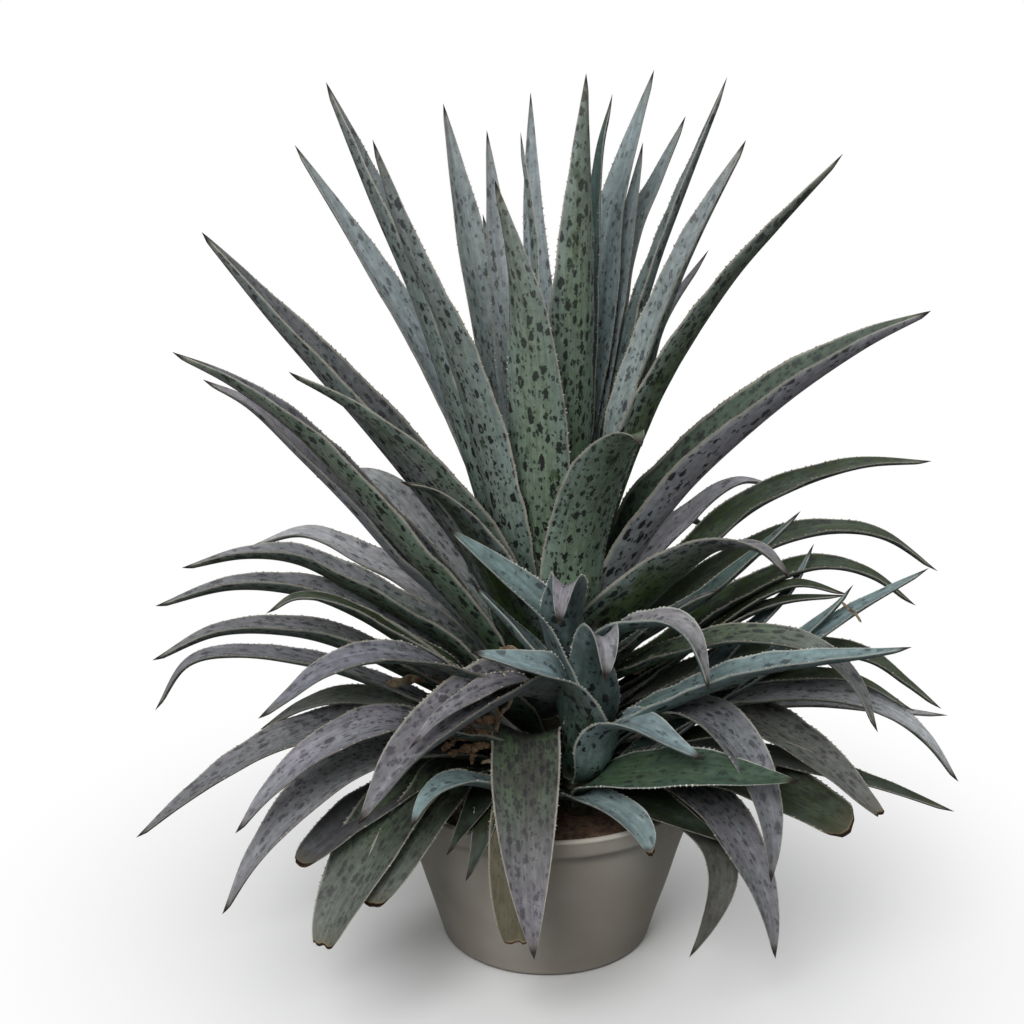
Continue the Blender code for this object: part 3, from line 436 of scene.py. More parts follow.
# Colours of the upper and the under face as a screen shows them; how much of each is
# spotted; how blurred the upper spots are; how far the wax is rubbed off; how much is dried;
# lilac wax along the keel; lilac towards the tip; green patches above
leafLooks = {
    "pale": ((152, 165, 166), (142, 156, 156), 0.44, 0.46, 0.10, 0.02, 0, 0, 0.25, 0.05),
    "lilacPale": ((158, 155, 161), (150, 149, 153), 0.34, 0.34, 0.18, 0, 0, 0, 0.3, 0),
    "heart": ((150, 163, 162), (122, 138, 128), 0.50, 0.66, 0.08, 0.22, 0, 0.15, 0.4, 0.2),
    "slate": ((106, 120, 119), (82, 96, 92), 0.45, 0.62, 0.10, 0.12, 0, 0.1, 0.35, 0.1),
    "front": ((134, 146, 138), (110, 128, 106), 0.56, 0.72, 0.08, 0.30, 0, 0.1, 0.3, 0.4),
    "green": ((114, 126, 114), (84, 98, 72), 0.54, 0.72, 0.10, 0.38, 0, 0.1, 0.35, 0.5),
    "outer": ((112, 115, 117), (92, 108, 82), 0.64, 0.74, 0.10, 0.36, 0, 0.8, 0.1, 0.4),
    "arch": ((126, 126, 132), (60, 76, 42), 0.56, 0.74, 0.14, 0.36, 0, 0, 0.2, 0.5),
    "dark": ((45, 58, 27), (39, 52, 21), 0.74, 0.84, 0.08, 0.50, 0, 0, 0.1, 0.3),
    "hood": ((66, 80, 58), (112, 130, 108), 0.50, 0.72, 0.08, 0.36, 0, 0, 0, 0.5),
    "blueFold": ((132, 150, 152), (78, 95, 84), 0.26, 0.50, 0.10, 0.34, 0, 0, 0, 0.06),
    # deep is painted shade: a near-black green for the low leaves that lie in the rosette's shade
    "deep": ((32, 41, 23), (28, 37, 19), 0.50, 0.60, 0.12, 0.40, 0, 0, 0, 0.3),
    "greenBand": ((104, 104, 112), (86, 106, 66), 0.74, 0.70, 0.10, 0.36, 0, 0.8, 0.2, 0.5),
    "lilacClear": ((152, 149, 157), (144, 141, 148), 0.30, 0.24, 0.14, 0.10, 0, 0.4, 0, 0),
    "cutLeaf": ((78, 87, 74), (54, 68, 40), 0.78, 0.74, 0.12, 0.44, 0.03, 0.3, 0.3, 1),
    "lilacLow": ((138, 137, 144), (78, 88, 68), 0.60, 0.70, 0.12, 0.32, 0, 0.3, 0, 0.3),
    "band": ((100, 103, 104), (104, 117, 102), 0.74, 0.60, 0.08, 0.20, 0, 1, 0.3, 0.4),
    "moss": ((94, 104, 88), (58, 74, 36), 0.62, 0.78, 0.10, 0.5, 0, 0.1, 0.7, 0.6),
    "mossTip": ((112, 110, 112), (58, 74, 36), 0.55, 0.74, 0.12, 0.60, 0, 0, 0.7, 0.3),
    "lilac": ((124, 123, 130), (78, 88, 68), 0.66, 0.70, 0.12, 0.32, 0, 0.3, 0, 0.36),
    "silver": ((186, 184, 191), (104, 114, 96), 0.32, 0.60, 0.22, 0.12, 0, 0.3, 0, 0.08),
    "lilacBoth": ((122, 120, 126), (120, 118, 124), 0.74, 0.24, 0.10, 0.12, 0, 0.4, 0, 0.1),
    # bronze's dark olive, which turns lilac toward the tip, is partly the leaf's own colour and partly
    # painted shade of the leaves above it
    "bronze": ((70, 71, 64), (66, 74, 58), 0.86, 0.70, 0.08, 0.30, 0, 0.3, 1, 0.6),
    "plum": ((76, 74, 80), (58, 60, 56), 0.50, 0.55, 0.22, 0.20, 0.05, 0, 0, 0.1),
    "violet": ((66, 64, 64), (52, 55, 47), 0.62, 0.66, 0.16, 0.28, 0.08, 0.2, 0, 0.25),
    "dry": ((90, 89, 74), (86, 83, 64), 0.45, 0.55, 0.22, 0.20, 0.36, 0, 0, 0.3),
    "lowGreen": ((62, 69, 51), (48, 58, 36), 0.62, 0.72, 0.12, 0.50, 0.03, 0, 0, 0.6),
    "mixed": ((104, 107, 104), (70, 80, 56), 0.66, 0.70, 0.12, 0.40, 0.02, 0.2, 0.2, 0.8),
    # the under face of ridge is lighter than its own pale wax: painted light against the shade it faces into
    "ridge": ((84, 98, 84), (174, 170, 177), 0.78, 0.44, 0.08, 0.14, 0, 0.3, 0.1, 0.5),
    "blue": ((118, 136, 138), (94, 112, 111), 0.26, 0.36, 0.10, 0.14, 0, 0, 0, 0.06),
    # bluePaintedLight is the blue look made lighter: painted light for the offset leaves in front that stand
    # in the light
    "bluePaintedLight": ((132, 150, 152), (124, 142, 142), 0.26, 0.34, 0.10, 0.06, 0, 0, 0, 0.04),
    "teal": ((74, 92, 88), (58, 74, 69), 0.30, 0.40, 0.10, 0.20, 0, 0, 0, 0.1),
    "blueLilac": ((140, 136, 142), (84, 101, 98), 0.44, 0.30, 0.12, 0.10, 0, 0, 0, 0),
    "blueGreen": ((68, 85, 72), (58, 72, 52), 0.34, 0.42, 0.12, 0.60, 0, 0, 0, 0.6),
}

# Leaves with an end lost, where left is the share of the whole leaf that remains, and leaves
# that stay wide for longer
leafTouches = {
    "leaf_15": {"taperReach": 0.36}, "leaf_33": {"left": 0.93, "taperReach": 0.42},
    "leaf_36": {"left": 0.90, "taperReach": 0.36}, "leaf_49": {"left": 0.95, "taperReach": 0.5},
    "inner_10": {"left": 0.80, "taperReach": 0.45}, "inner_13": {"left": 0.90, "taperReach": 0.42},
    "inner_14": {"left": 0.88, "taperReach": 0.42}, "offset_leaf_2": {"taperReach": 0.38},
    "offset_leaf_4": {"taperReach": 0.38}, "offset_leaf_3": {"taperReach": 0.46},
    "offset_leaf_14": {"left": 0.97, "taperReach": 0.40},
}

# What all leaves share: their outline, channel, waves and flesh, then worn ends, shades and teeth
bladeShape = {
    "stationGap": 0.006, "fewestStations": 16, "left": 1,
    "across": (-1, -0.955, -0.84, -0.64, -0.4, -0.14, 0.14, 0.4, 0.64, 0.84, 0.955, 1),
    "neck": 0.46, "neckReach": 0.32, "neckPower": 1.3, "taperReach": 0.6, "taperPower": 0.9,
    "outwardPull": 0.3, "rollReach": 0.45, "channelReach": 0.15, "channelPower": 1.5,
    "needleLength": 0.011, "needleRadius": 0.0009, "needlePower": 0.7, "pointRadius": 0.0001,
    "waves": 3, "waveHeight": 0.0009, "waveLength": 0.11, "waveSpread": (0.7, 1.5), "waveStep": 0.8,
    "calmFoot": 0.15, "calmTip": 0.08,
    "flesh": 0.0062, "rimThinning": 0.74, "rimPower": 2.2, "tipThinning": 0.5, "thinHalf": 0.003,
    "fleshShare": 0.9, "cornerRound": 0.5, "cornerPower": 2.5, "raggedDepth": 0.003, "notch": 0.006,
    "endReach": 0.03, "scarReach": 0.0022, "needleSkin": 2.2, "rimSide": 0.4, "shadeShift": 0.07,
    "hueShift": 0.03, "toothLift": 0.7, "toothLean": 0.45, "toothFoot": 0.1, "toothTip": 0.12,
    "toothHalf": 0.012, "toothLeast": 0.35,
}
# The stems that the leaves stand on: radius below and above, height of the shoulder and of the top,
# and how far from the stem's skin a leaf's midrib starts
rosette = {"centre": Vector((0, 0, 0)), "low": 0.028, "top": 0.014, "shoulder": 0.16, "height": 0.245,
           "gap": 0.0008}
offset = {"centre": Vector((0.034, -0.086, 0)), "low": 0.016, "top": 0.007, "shoulder": 0.03,
          "height": 0.058, "gap": -0.008}


def crownRadius(crown, up):
    # the stem is straight up to its shoulder and tapers above it
    share = min(1, max(0, (up - crown["shoulder"]) / (crown["height"] - crown["shoulder"])))
    return crown["low"] + (crown["top"] - crown["low"]) * share


def smoothPath(points):
    # points close together on the smooth curve through the given ones, and the length run so far
    ends = [2 * points[0] - points[1], *points, 2 * points[-1] - points[-2]]
    steps = np.arange(24)[:, None] / 24
    runs = []
    for a, b, c, d in zip(ends, ends[1:], ends[2:], ends[3:]):
        runs.append(0.5 * (2 * b + (c - a) * steps + (2 * a - 5 * b + 4 * c - d) * steps ** 2
                           + (3 * b - a - 3 * c + d) * steps ** 3))
    dense = np.vstack([*runs, points[-1][None]])
    run = np.concatenate([[0], np.cumsum(np.linalg.norm(np.diff(dense, axis=0), axis=1))])
    return dense, run


def placesAt(reach, dense, run):
    return np.stack([np.interp(reach, run, dense[:, axis]) for axis in range(3)], axis=1)


def unit(rows):
    return rows / np.linalg.norm(rows, axis=-1, keepdims=True)


def bladeMesh(name, row, crown, seed):
    azimuth, footUp, width, channel, roll, look, *via = row
    shape = {**bladeShape, **leafTouches.get(name, {})}
    draw = random.Random(seed)
    heading = math.radians(azimuth)
    outward = np.array((math.cos(heading), math.sin(heading), 0))
    foot = np.array(crown["centre"]) + outward * (crownRadius(crown, footUp * cm) + crown["gap"])
    foot[2] = footUp * cm
    middle = [point + (0, 0, soilTop) for point in [foot] + [np.array(point) * cm for point in via]]
    dense, run = smoothPath(middle)
    length = run[-1]
    count = max(shape["fewestStations"], int(length / shape["stationGap"]))
    t = np.linspace(0, 1, count + 1)
    share = t * shape["left"]
    place = placesAt(t * length, dense, run)
    along = unit(np.gradient(place, axis=0))

    flat = along[:, :2] + shape["outwardPull"] * outward[:2]
    side = unit(np.stack([-flat[:, 1], flat[:, 0], np.zeros(count + 1)], axis=1))
    side = unit(side - np.sum(side * along, axis=1, keepdims=True) * along)
    face = np.cross(along, side)
    angle = math.radians(roll) * np.minimum(1, t / shape["rollReach"])[:, None]
    side, face = side * np.cos(angle) + face * np.sin(angle), face * np.cos(angle) - side * np.sin(angle)

    taper = np.sin(np.pi / 2 * np.minimum(1, (1 - share) / shape["taperReach"])) ** shape["taperPower"]
    neck = 1 - shape["neck"] * np.maximum(0, 1 - t / shape["neckReach"]) ** shape["neckPower"]
    toTip = (1 - share) * length / shape["left"]
    needle = np.minimum(1, toTip / shape["needleLength"]) ** shape["needlePower"]
    half = np.maximum(width * cm / 2 * taper * neck, shape["needleRadius"] * needle + shape["pointRadius"])
    deep = channel * np.minimum(1, t / shape["channelReach"])

    across = np.array(shape["across"])
    wide, around = len(across), 2 * len(across) - 2
    spread = across[None, :] * half[:, None]
    edge = np.abs(across)[None, :]
    lift = deep[:, None] * half[:, None] * edge ** shape["channelPower"]
    # the margins wave a little, each on its own beat
    calm = np.minimum(1, np.minimum(t / shape["calmFoot"], toTip / shape["calmTip"]))
    calm = calm[:, None] * half[:, None] / (width * cm / 2)
    for beat in range(shape["waves"]):
        phase = [draw.uniform(0, math.tau) for _ in range(2)]
        pitch = shape["waveLength"] * draw.uniform(*shape["waveSpread"]) / (1 + shape["waveStep"] * beat)
        for sign, start in zip((-1, 1), phase):
            wave = np.sin(math.tau * t * length / pitch + start)[:, None]
            rim = np.maximum(0, across * sign)[None, :] ** 2
            lift += rim * wave * calm * shape["waveHeight"] / (1 + beat)
    slope = np.gradient(lift, axis=1) / np.maximum(1e-6, np.gradient(spread, axis=1))
    flesh = (shape["flesh"] * (1 - shape["rimThinning"] * edge ** shape["rimPower"])
             * (1 - shape["tipThinning"] * t)[:, None] * np.minimum(1, half / shape["thinHalf"])[:, None])
    flesh = np.minimum(flesh, half[:, None] * shape["fleshShare"])
    down = flesh / np.sqrt(1 + slope ** 2)

    def points(x, y):
        return place[:, None, :] + x[..., None] * side[:, None, :] + y[..., None] * face[:, None, :]
    upper, lower = points(spread, lift), points(spread + slope * down, lift - down)[:, -2:0:-1]
    ring = np.concatenate([upper, lower], axis=1)
    acrossAll = np.concatenate([across, across[-2:0:-1]])
    toEnd = (1 - t) * length
    if shape["left"] < 1:
        # a worn end, rounded at its corners and a little ragged
        back = shape["cornerRound"] * half[-1] * np.abs(across) ** shape["cornerPower"]
        back += np.array([draw.uniform(0, 1) for _ in across]) * shape["raggedDepth"]
        back += shape["notch"] * (1 - np.abs(across)) * draw.choice((0, 1))
        back = np.concatenate([back, back[-2:0:-1]])
        pull = np.maximum(0, 1 - toEnd / shape["endReach"]) ** 2
        ring = ring - pull[:, None, None] * along[:, None, :] * back[None, :, None]

    faces = ringFaces(0, count + 1, around)
    under = [0, *range(around - 1, wide - 1, -1), wide - 1]
    for here, flip in ((0, 1), (count * around, -1)):
        for spot in range(wide - 1):
            corners = dict.fromkeys((spot, spot + 1, under[spot + 1], under[spot]))
            faces.append(tuple(here + corner for corner in corners)[::flip])
    mesh = newMesh(name, ring.reshape(-1, 3).tolist(), faces)

    # what the skin reads: places over the blade, colours, spots, wear, and where the teeth stand
    grid = np.ones((count + 1, around), np.float32)

    def write(label, *values):
        kind, key = ("FLOAT", "value") if len(values) == 1 else ("FLOAT_VECTOR", "vector")
        stack = np.stack([grid * value for value in values], axis=-1).astype(np.float32)
        mesh.attributes.new(label, kind, "POINT").data.foreach_set(key, stack.reshape(-1))

    onSide = np.concatenate([np.zeros(wide), np.ones(around - wide)])
    onSide[[0, wide - 1]] = shape["rimSide"]
    write("blade", acrossAll * half[:, None], (t * length)[:, None], seed)
    write("where", np.abs(acrossAll), t[:, None], onSide)
    upperTint, underTint, upperSpots, underSpots, blur, rub, dried, *toning = leafLooks[look]
    shade = 1 + draw.uniform(-shape["shadeShift"], shape["shadeShift"])
    hue = [1 + draw.uniform(-shape["hueShift"], shape["hueShift"]) for _ in range(3)]
    for label, tint in (("upperTint", upperTint), ("underTint", underTint)):
        write(label, *(value * shade * shift for value, shift in zip(colour(*tint), hue)))
    write("spotting", upperSpots, underSpots, blur)
    write("toning", *toning)
    write("worn", rub, dried, np.exp(-toEnd / shape["scarReach"])[:, None] * (shape["left"] < 1))
    write("needle", np.clip(1 - toTip / (shape["needleLength"] * shape["needleSkin"]), 0, 1)[:, None])

    aim = np.zeros((count + 1, around, 3))
    for spot, sign in ((0, -1), (wide - 1, 1)):
        aim[:, spot] = side * sign + face * deep[:, None] * shape["toothLift"] + along * shape["toothLean"]
    write("toothAim", *np.moveaxis(aim, 2, 0))
    reach = np.clip(np.minimum(t / shape["toothFoot"], toTip / shape["toothTip"]), 0, 1)
    write("toothReach", (reach * np.clip(half / shape["toothHalf"], shape["toothLeast"], 1))[:, None])
    pairs = np.zeros(len(mesh.edges) * 2, np.int32)
    mesh.edges.foreach_get("vertices", pairs)
    column = pairs.reshape(-1, 2) % around
    margin = (column[:, 0] == column[:, 1]) & ((column[:, 0] == 0) | (column[:, 0] == wide - 1))
    for label in ("ridge", "sharp_edge"):
        mesh.attributes.new(label, "BOOLEAN", "EDGE").data.foreach_set("value", margin)
    return mesh


def named(tree, label, kind):
    return put(tree, "GeometryNodeInputNamedAttribute", {"Name": label}, data_type=kind)["Attribute"]


def between(low, high, seed):
    # a random value for each place
    kind = "FLOAT_VECTOR" if isinstance(low, tuple) else "FLOAT"
    values = {"Min": low, "Max": high, "Seed": seed}
    return put(seed.tree, "FunctionNodeRandomValue", values, data_type=kind)["Value"]


def standOn(tree, end, ground, copies, material):
    # the copies become real, take their material and join the thing they stand on
    solid = put(tree, "GeometryNodeRealizeInstances", {"Geometry": copies})
    painted = put(tree, "GeometryNodeSetMaterial", {"Geometry": solid[0], "Material": material})
    joined = tree.nodes.new("GeometryNodeJoinGeometry")
    for part in (painted[0], ground):
        tree.links.new(part.socket, joined.inputs[0])
    tree.links.new(joined.outputs[0], end.inputs[0])
    return tree


toothShape = {"slide": 0.35, "least": 0.45, "most": 1.15, "stretch": 1.5, "sink": -0.3, "sides": 5,
              "leastReach": 0.2}


def teethTree():
    # small hooked teeth, spaced along both margins of a blade
    shape = toothShape
    tree, given, end = newGroup("marginTeeth", "GeometryNodeTree", {
        "Blade": "Geometry", "Spacing": 0.007, "Length": 0.0022, "Breadth": 0.0022, "Seed": 1,
        "Tooth material": "Material"}, {"Blade": "Geometry"})
    ridge = named(tree, "ridge", "BOOLEAN")
    line = put(tree, "GeometryNodeMeshToCurve", {"Mesh": given["Blade"], "Selection": ridge})
    spacing = {"Curve": line[0], "Length": given["Spacing"]}
    spaced = put(tree, "GeometryNodeResampleCurve", spacing, mode="LENGTH")
    slide = between(-shape["slide"], shape["slide"], given["Seed"]) * given["Spacing"]
    step = scaled(put(tree, "GeometryNodeInputTangent")[0], slide)
    moved = put(tree, "GeometryNodeSetPosition", {"Geometry": spaced[0], "Offset": step})
    aim = named(tree, "toothAim", "FLOAT_VECTOR")
    turned = put(tree, "FunctionNodeAlignRotationToVector", {"Vector": aim}, axis="Z")
    reach = named(tree, "toothReach", "FLOAT")
    size = between(shape["least"], shape["most"], given["Seed"]) * reach
    wide, tall = size * given["Breadth"], size * given["Length"]
    scale = put(tree, "ShaderNodeCombineXYZ", {0: wide * shape["stretch"], 1: wide, 2: tall})
    cone = put(tree, "GeometryNodeMeshCone", {"Vertices": shape["sides"], "Radius Top": 0.0,
                                              "Radius Bottom": 0.5, "Depth": 1.0}, fill_type="NGON")
    sunk = put(tree, "GeometryNodeTransform", {"Geometry": cone["Mesh"],
                                               "Translation": (0, 0, shape["sink"])})
    grown = put(tree, "GeometryNodeInstanceOnPoints", {
        "Points": moved[0], "Selection": calc("GREATER_THAN", reach, shape["leastReach"]),
        "Instance": sunk[0], "Rotation": turned[0], "Scale": scale[0]})
    return standOn(tree, end, given["Blade"], grown[0], given["Tooth material"])


spotShape = {"edgeScale": 330, "edgeStretch": (1, 0.7, 0.011), "edgeShift": (0.0055, 0.009, 0),
             "least": 0.08, "most": 0.38, "hollow": 0.42, "ringed": 0.82, "paler": -0.5,
             "apartAcross": 0.731, "apartAlong": 0.317}


def spotsGroup():
    # irregular spots drawn out along the blade: Share is how many cells hold one
    shape = spotShape
    tree, given, end = newGroup("bladeSpots", "ShaderNodeTree", {
        "Blade": "Vector", "Cell": 0.014, "Stretch": 0.6, "Share": 0.5, "Softness": 0.1}, {"Mask": "Float"})
    near = calcVector("MULTIPLY", given["Blade"], shape["edgeStretch"])
    shift = calcVector("SUBTRACT", noise(near, shape["edgeScale"], 2)["Color"], (0.5, 0.5, 0.5))
    shift = calcVector("MULTIPLY", shift, shape["edgeShift"])
    parts = split(calcVector("ADD", given["Blade"], shift))
    # each leaf lies in another part of the pattern
    across = parts[0] + parts[2] * shape["apartAcross"]
    along = parts[1] * given["Stretch"] + parts[2] * shape["apartAlong"]
    spot = put(tree, "ShaderNodeCombineXYZ", {0: across, 1: along})
    cells = put(tree, "ShaderNodeTexVoronoi", {"Vector": spot[0], "Scale": 1.0 / given["Cell"],
                                               "Randomness": 0.9}, voronoi_dimensions="2D")
    chance = put(tree, "ShaderNodeSeparateColor", {0: cells["Color"]})
    radius = put(tree, "ShaderNodeMapRange", {
        "Value": chance[0], "From Min": 1.0 - given["Share"], "From Max": 1.0, "To Min": shape["least"],
        "To Max": shape["most"]}, clamp=False)[0]
    mask = put(tree, "ShaderNodeClamp", {"Value": (radius - cells["Distance"]) / given["Softness"] + 0.5})[0]
    # some of the larger spots are paler in the middle
    hollow = ramp(radius * shape["hollow"] - cells["Distance"], -0.04, 0.06)
    hollow = hollow * calc("GREATER_THAN", chance[1], shape["ringed"])
    fill(tree, end, {"Mask": mask * (hollow * shape["paler"] + 1.0)})
    return tree


# stretch along the blade, scale and detail of the fine lines that run along it and of its patches
grainSizes = {"Lines": (0.035, 520, 2), "Bands": (0.05, 210, 2), "Clouds": (0.5, 42, 4),
              "Patches": (0.42, 62, 3), "Blotch": (0.55, 170, 3), "Grit": (0.8, 900, 1)}


def grainGroup():
    tree, given, end = newGroup("bladeGrain", "ShaderNodeTree", {"Blade": "Vector"},
                                dict.fromkeys(grainSizes, "Float"))
    for label, (stretch, scale, detail) in grainSizes.items():
        # the last factor puts each leaf in another part of the noise
        drawn = calcVector("MULTIPLY", given["Blade"], (1, stretch, 3.7 / scale))
        fill(tree, end, {label: noise(drawn, scale, detail, Roughness=0.55)["Fac"]})
    return tree


skinSettings = {
    "spotBelow": (24, 23, 25), "spotAbove": (46, 43, 49), "wax": (130, 144, 146), "keelWax": (136, 134, 141),
    "moss": (54, 70, 30), "greenAbove": (74, 94, 60), "tipLilac": (128, 125, 131), "tan": (128, 114, 88),
    "tipTan": (108, 100, 78), "scar": (66, 44, 30), "scarTan": (122, 110, 88), "needle": (44, 36, 34),
    "footPale": (116, 122, 102), "shine": 0.22, "roughness": 0.6, "relief": 0.4,
    "bigSpots": {"Cell": 0.0084, "Stretch": 0.46}, "smallSpots": {"Cell": 0.0045, "Stretch": 0.55},
    "smallShare": 0.85, "smallStrength": 0.85, "cloudWax": 0.14, "rimWax": 0.40,
}
# Where each finish starts and where it is full, and its strength there if that isn't none and all
skinReaches = {
    "underside": (0.38, 0.62), "waxClouds": (0.38, 0.68), "waxRim": (0.3, 0.95),
    "keelRim": (0.2, 0.8, 1.0, 0.0), "keelBands": (0.3, 0.6),
    "greenClouds": (0.40, 0.60), "greenReach": (0.2, 0.85, 1.0, 0.2),
    "greenRim": (0.6, 1.0, 1.0, 0.3), "rubbed": (-0.06, 0.07), "rubbedRim": (0.55, 0.98, 1.0, 0.25),
    "tipLilac": (0.5, 0.95), "footShade": (0.02, 0.42), "footGreen": (0.02, 0.5, 0.84, 1.0),
    "spotsAbove": (0.3, 0.95, 1.15, 0.7), "spotStrength": (0.3, 1.0, 0.84, 0.6), "tan": (0.3, 0.6, 0.35, 1.0),
    "tipTan": (0.9, 1.0, 0.0, 0.38), "footPale": (0.0, 0.07, 0.7, 0.0), "margin": (0.92, 0.975),
    "marginBreaks": (0.3, 0.5, 0.6, 1.0), "needle": (0.25, 0.75), "scarTan": (0.08, 0.3), "scar": (0.35, 0.7),
}
# How much each grain changes the tone, and the tone without it
skinTones = {"Lines": (0.60, 0.70), "Bands": (0.80, 0.60), "Blotch": (1.10, 0.45), "Grit": (0.24, 0.88)}


def skinMaterial(name, marginColour, marginStrength, footShade):
    look = {**skinSettings, "margin": marginColour}
    material, tree = newMaterial(name, look["roughness"])
    fill(tree, tree.nodes["Principled BSDF"], {"Specular IOR Level": look["shine"]})

    def fit(value, finish, *strengths):
        return ramp(value, *skinReaches[finish], *strengths)
    blade = attribute(tree, "blade", "Vector")
    where, spotting, worn, toning = (split(attribute(tree, label, "Vector"))
                                     for label in ("where", "spotting", "worn", "toning"))
    rim, reach, under = where[0], where[1], fit(where[2], "underside")
    above = 1.0 - under
    fine = useGroup(tree, bladeGrain, {"Blade": blade})
    clouds = fine["Clouds"]

    # wax is thicker toward the margins of the under face and lies in clouds elsewhere
    wax = fit(clouds, "waxClouds") * look["cloudWax"] + fit(rim, "waxRim") * under * look["rimWax"]
    keelWax = fit(rim, "keelRim") * under * toning[0] * fit(fine["Bands"], "keelBands")
    # green shows through above, mostly in the lower half and away from the margins
    green = fit(clouds, "greenClouds") * fit(reach, "greenReach") * fit(rim, "greenRim") * above * toning[2]
    # rubbed places show the green below
    rubbed = fit(fine["Patches"] - (worn[0] * -0.42 + 0.78), "rubbed")
    rubbed = rubbed * (under * 0.72 + 0.10) * fit(rim, "rubbedRim")
    base = mix(under, attribute(tree, "upperTint"), attribute(tree, "underTint"))
    for coat, share in (("wax", wax), ("keelWax", keelWax), ("greenAbove", green), ("moss", rubbed),
                        ("tipLilac", fit(reach, "tipLilac") * toning[1])):
        base = mix(share, base, look[coat])
    # painted shade: the tone falls toward each leaf's foot and turns greener there, partly the foot's own
    # darker colour and partly the shade of the leaves above it
    tone = fit(reach, "footShade", footShade)
    for label, (gain, least) in skinTones.items():
        tone = tone * (fine[label] * gain + least)
    greenerPaintedShade = tone * fit(reach, "footGreen")
    base = shaded(base, greenerPaintedShade, tone, greenerPaintedShade)

    # spots: sharp and dark below, softer above and fewer toward the tip
    share = spotting[0] * above * fit(reach, "spotsAbove") + spotting[1] * under * (rubbed * 0.3 + 1.0)
    share = share * (clouds * 1.1 + 0.45)
    given = {"Blade": blade, "Softness": above * spotting[2] + 0.07}
    big = useGroup(tree, bladeSpots, {**given, **look["bigSpots"], "Share": share})
    fewer = share * look["smallShare"]
    small = useGroup(tree, bladeSpots, {**given, **look["smallSpots"], "Share": fewer})
    spotMask = calc("MAXIMUM", big["Mask"], small["Mask"] * look["smallStrength"])
    strength = (under * 0.12 + fit(reach, "spotStrength")) * (fine["Grit"] * 0.5 + 0.75) * spotMask
    base = mix(strength, base, mix(under, look["spotAbove"], look["spotBelow"]))

    # dried parts, from the tip down and in patches, then the margins, the needle and worn ends
    line = fit(rim, "margin") * fit(fine["Blotch"], "marginBreaks") * marginStrength
    for coat, share in (("tan", worn[1] * fit(clouds, "tan")), ("tipTan", fit(reach, "tipTan")),
                        ("footPale", fit(reach, "footPale")), ("margin", line),
                        ("needle", fit(attribute(tree, "needle", "Fac"), "needle")),
                        ("scarTan", fit(worn[2], "scarTan")), ("scar", fit(worn[2], "scar"))):
        base = mix(share, base, look[coat])
    rough = rubbed * -0.2 + look["roughness"] + (clouds * 0.12 - 0.06)
    dress(tree, base, rough, fine["Lines"] * 0.35 + fine["Bands"] + spotMask * -0.12, look["relief"])
    return material


def toothMaterial(name, pale, brown):
    material, tree = newMaterial(name, 0.5)
    patches = noise(ownPlace(tree), 130, 2)["Fac"]
    dress(tree, mix(ramp(patches, 0.44, 0.62), pale, brown), patches * 0.3 + 0.35)
    return material


def roughGroup():
    # clumps, grains and pits for soil, bark and fired clay
    tree, given, end = newGroup("coarseGrain", "ShaderNodeTree", {"Place": "Vector", "Size": 0.004},
                                {"Clump": "Float", "Grain": "Float"})
    scale = 1.0 / given["Size"]
    pits = put(tree, "ShaderNodeTexVoronoi", {"Vector": given["Place"], "Scale": scale})
    fill(tree, end, {"Clump": noise(given["Place"], scale * 0.35, 5)["Fac"], "Grain": pits["Distance"]})
    return tree


def earthMaterial(name, size, dark, light, roughness, depth):
    material, tree = newMaterial(name, roughness)
    grain = useGroup(tree, coarseGrain, {"Place": ownPlace(tree), "Size": size})
    pits = ramp(grain["Grain"], 0.0, 0.6, 1.1, 0.7)
    tint = shaded(mix(ramp(grain["Clump"], 0.3, 0.7), dark, light), pits, pits, pits)
    rough = grain["Clump"] * 0.14 + (roughness - 0.07)
    dress(tree, tint, rough, grain["Clump"] - grain["Grain"] * 0.7, 0.7, depth)
    return material


bladeSpots, bladeGrain, coarseGrain, marginTeeth = spotsGroup(), grainGroup(), roughGroup(), teethTree()
# the last number is how dark the painted shade at a leaf's foot is
leafSkin = skinMaterial("leaf skin", (172, 168, 156), 0.78, 0.46)
offsetSkin = skinMaterial("offset leaf skin", (188, 192, 184), 0.85, 0.58)
leafTooth = toothMaterial("leaf tooth", (188, 182, 168), (126, 108, 92))
offsetTooth = toothMaterial("offset tooth", (212, 212, 202), (172, 162, 146))

leafTeeth = {"Spacing": 0.0074, "Length": 0.0028, "Breadth": 0.0019, "Tooth material": leafTooth}
offsetTeeth = {"Spacing": 0.0062, "Length": 0.0032, "Breadth": 0.0019, "Tooth material": offsetTooth}
seedCount = 0
for form, rows, crown, slotName, skin, toothInputs in (
        ("leaf_{:02}", leafRows, rosette, "leaf", leafSkin, leafTeeth),
        ("inner_{:02}", innerRows, rosette, "leaf", leafSkin, leafTeeth),
        ("offset_leaf_{}", offsetRows, offset, "offset_leaf", offsetSkin, offsetTeeth)):
    for number, row in rows.items():
        seedCount += 1
        label = form.format(number)
        blade = addPiece(label + "_blade", bladeMesh(label, row, crown, seedCount), skin)
        applyNodes(blade, marginTeeth, {**toothInputs, "Seed": seedCount})
        finishPiece(blade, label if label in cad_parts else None)
print("blades:", seedCount)


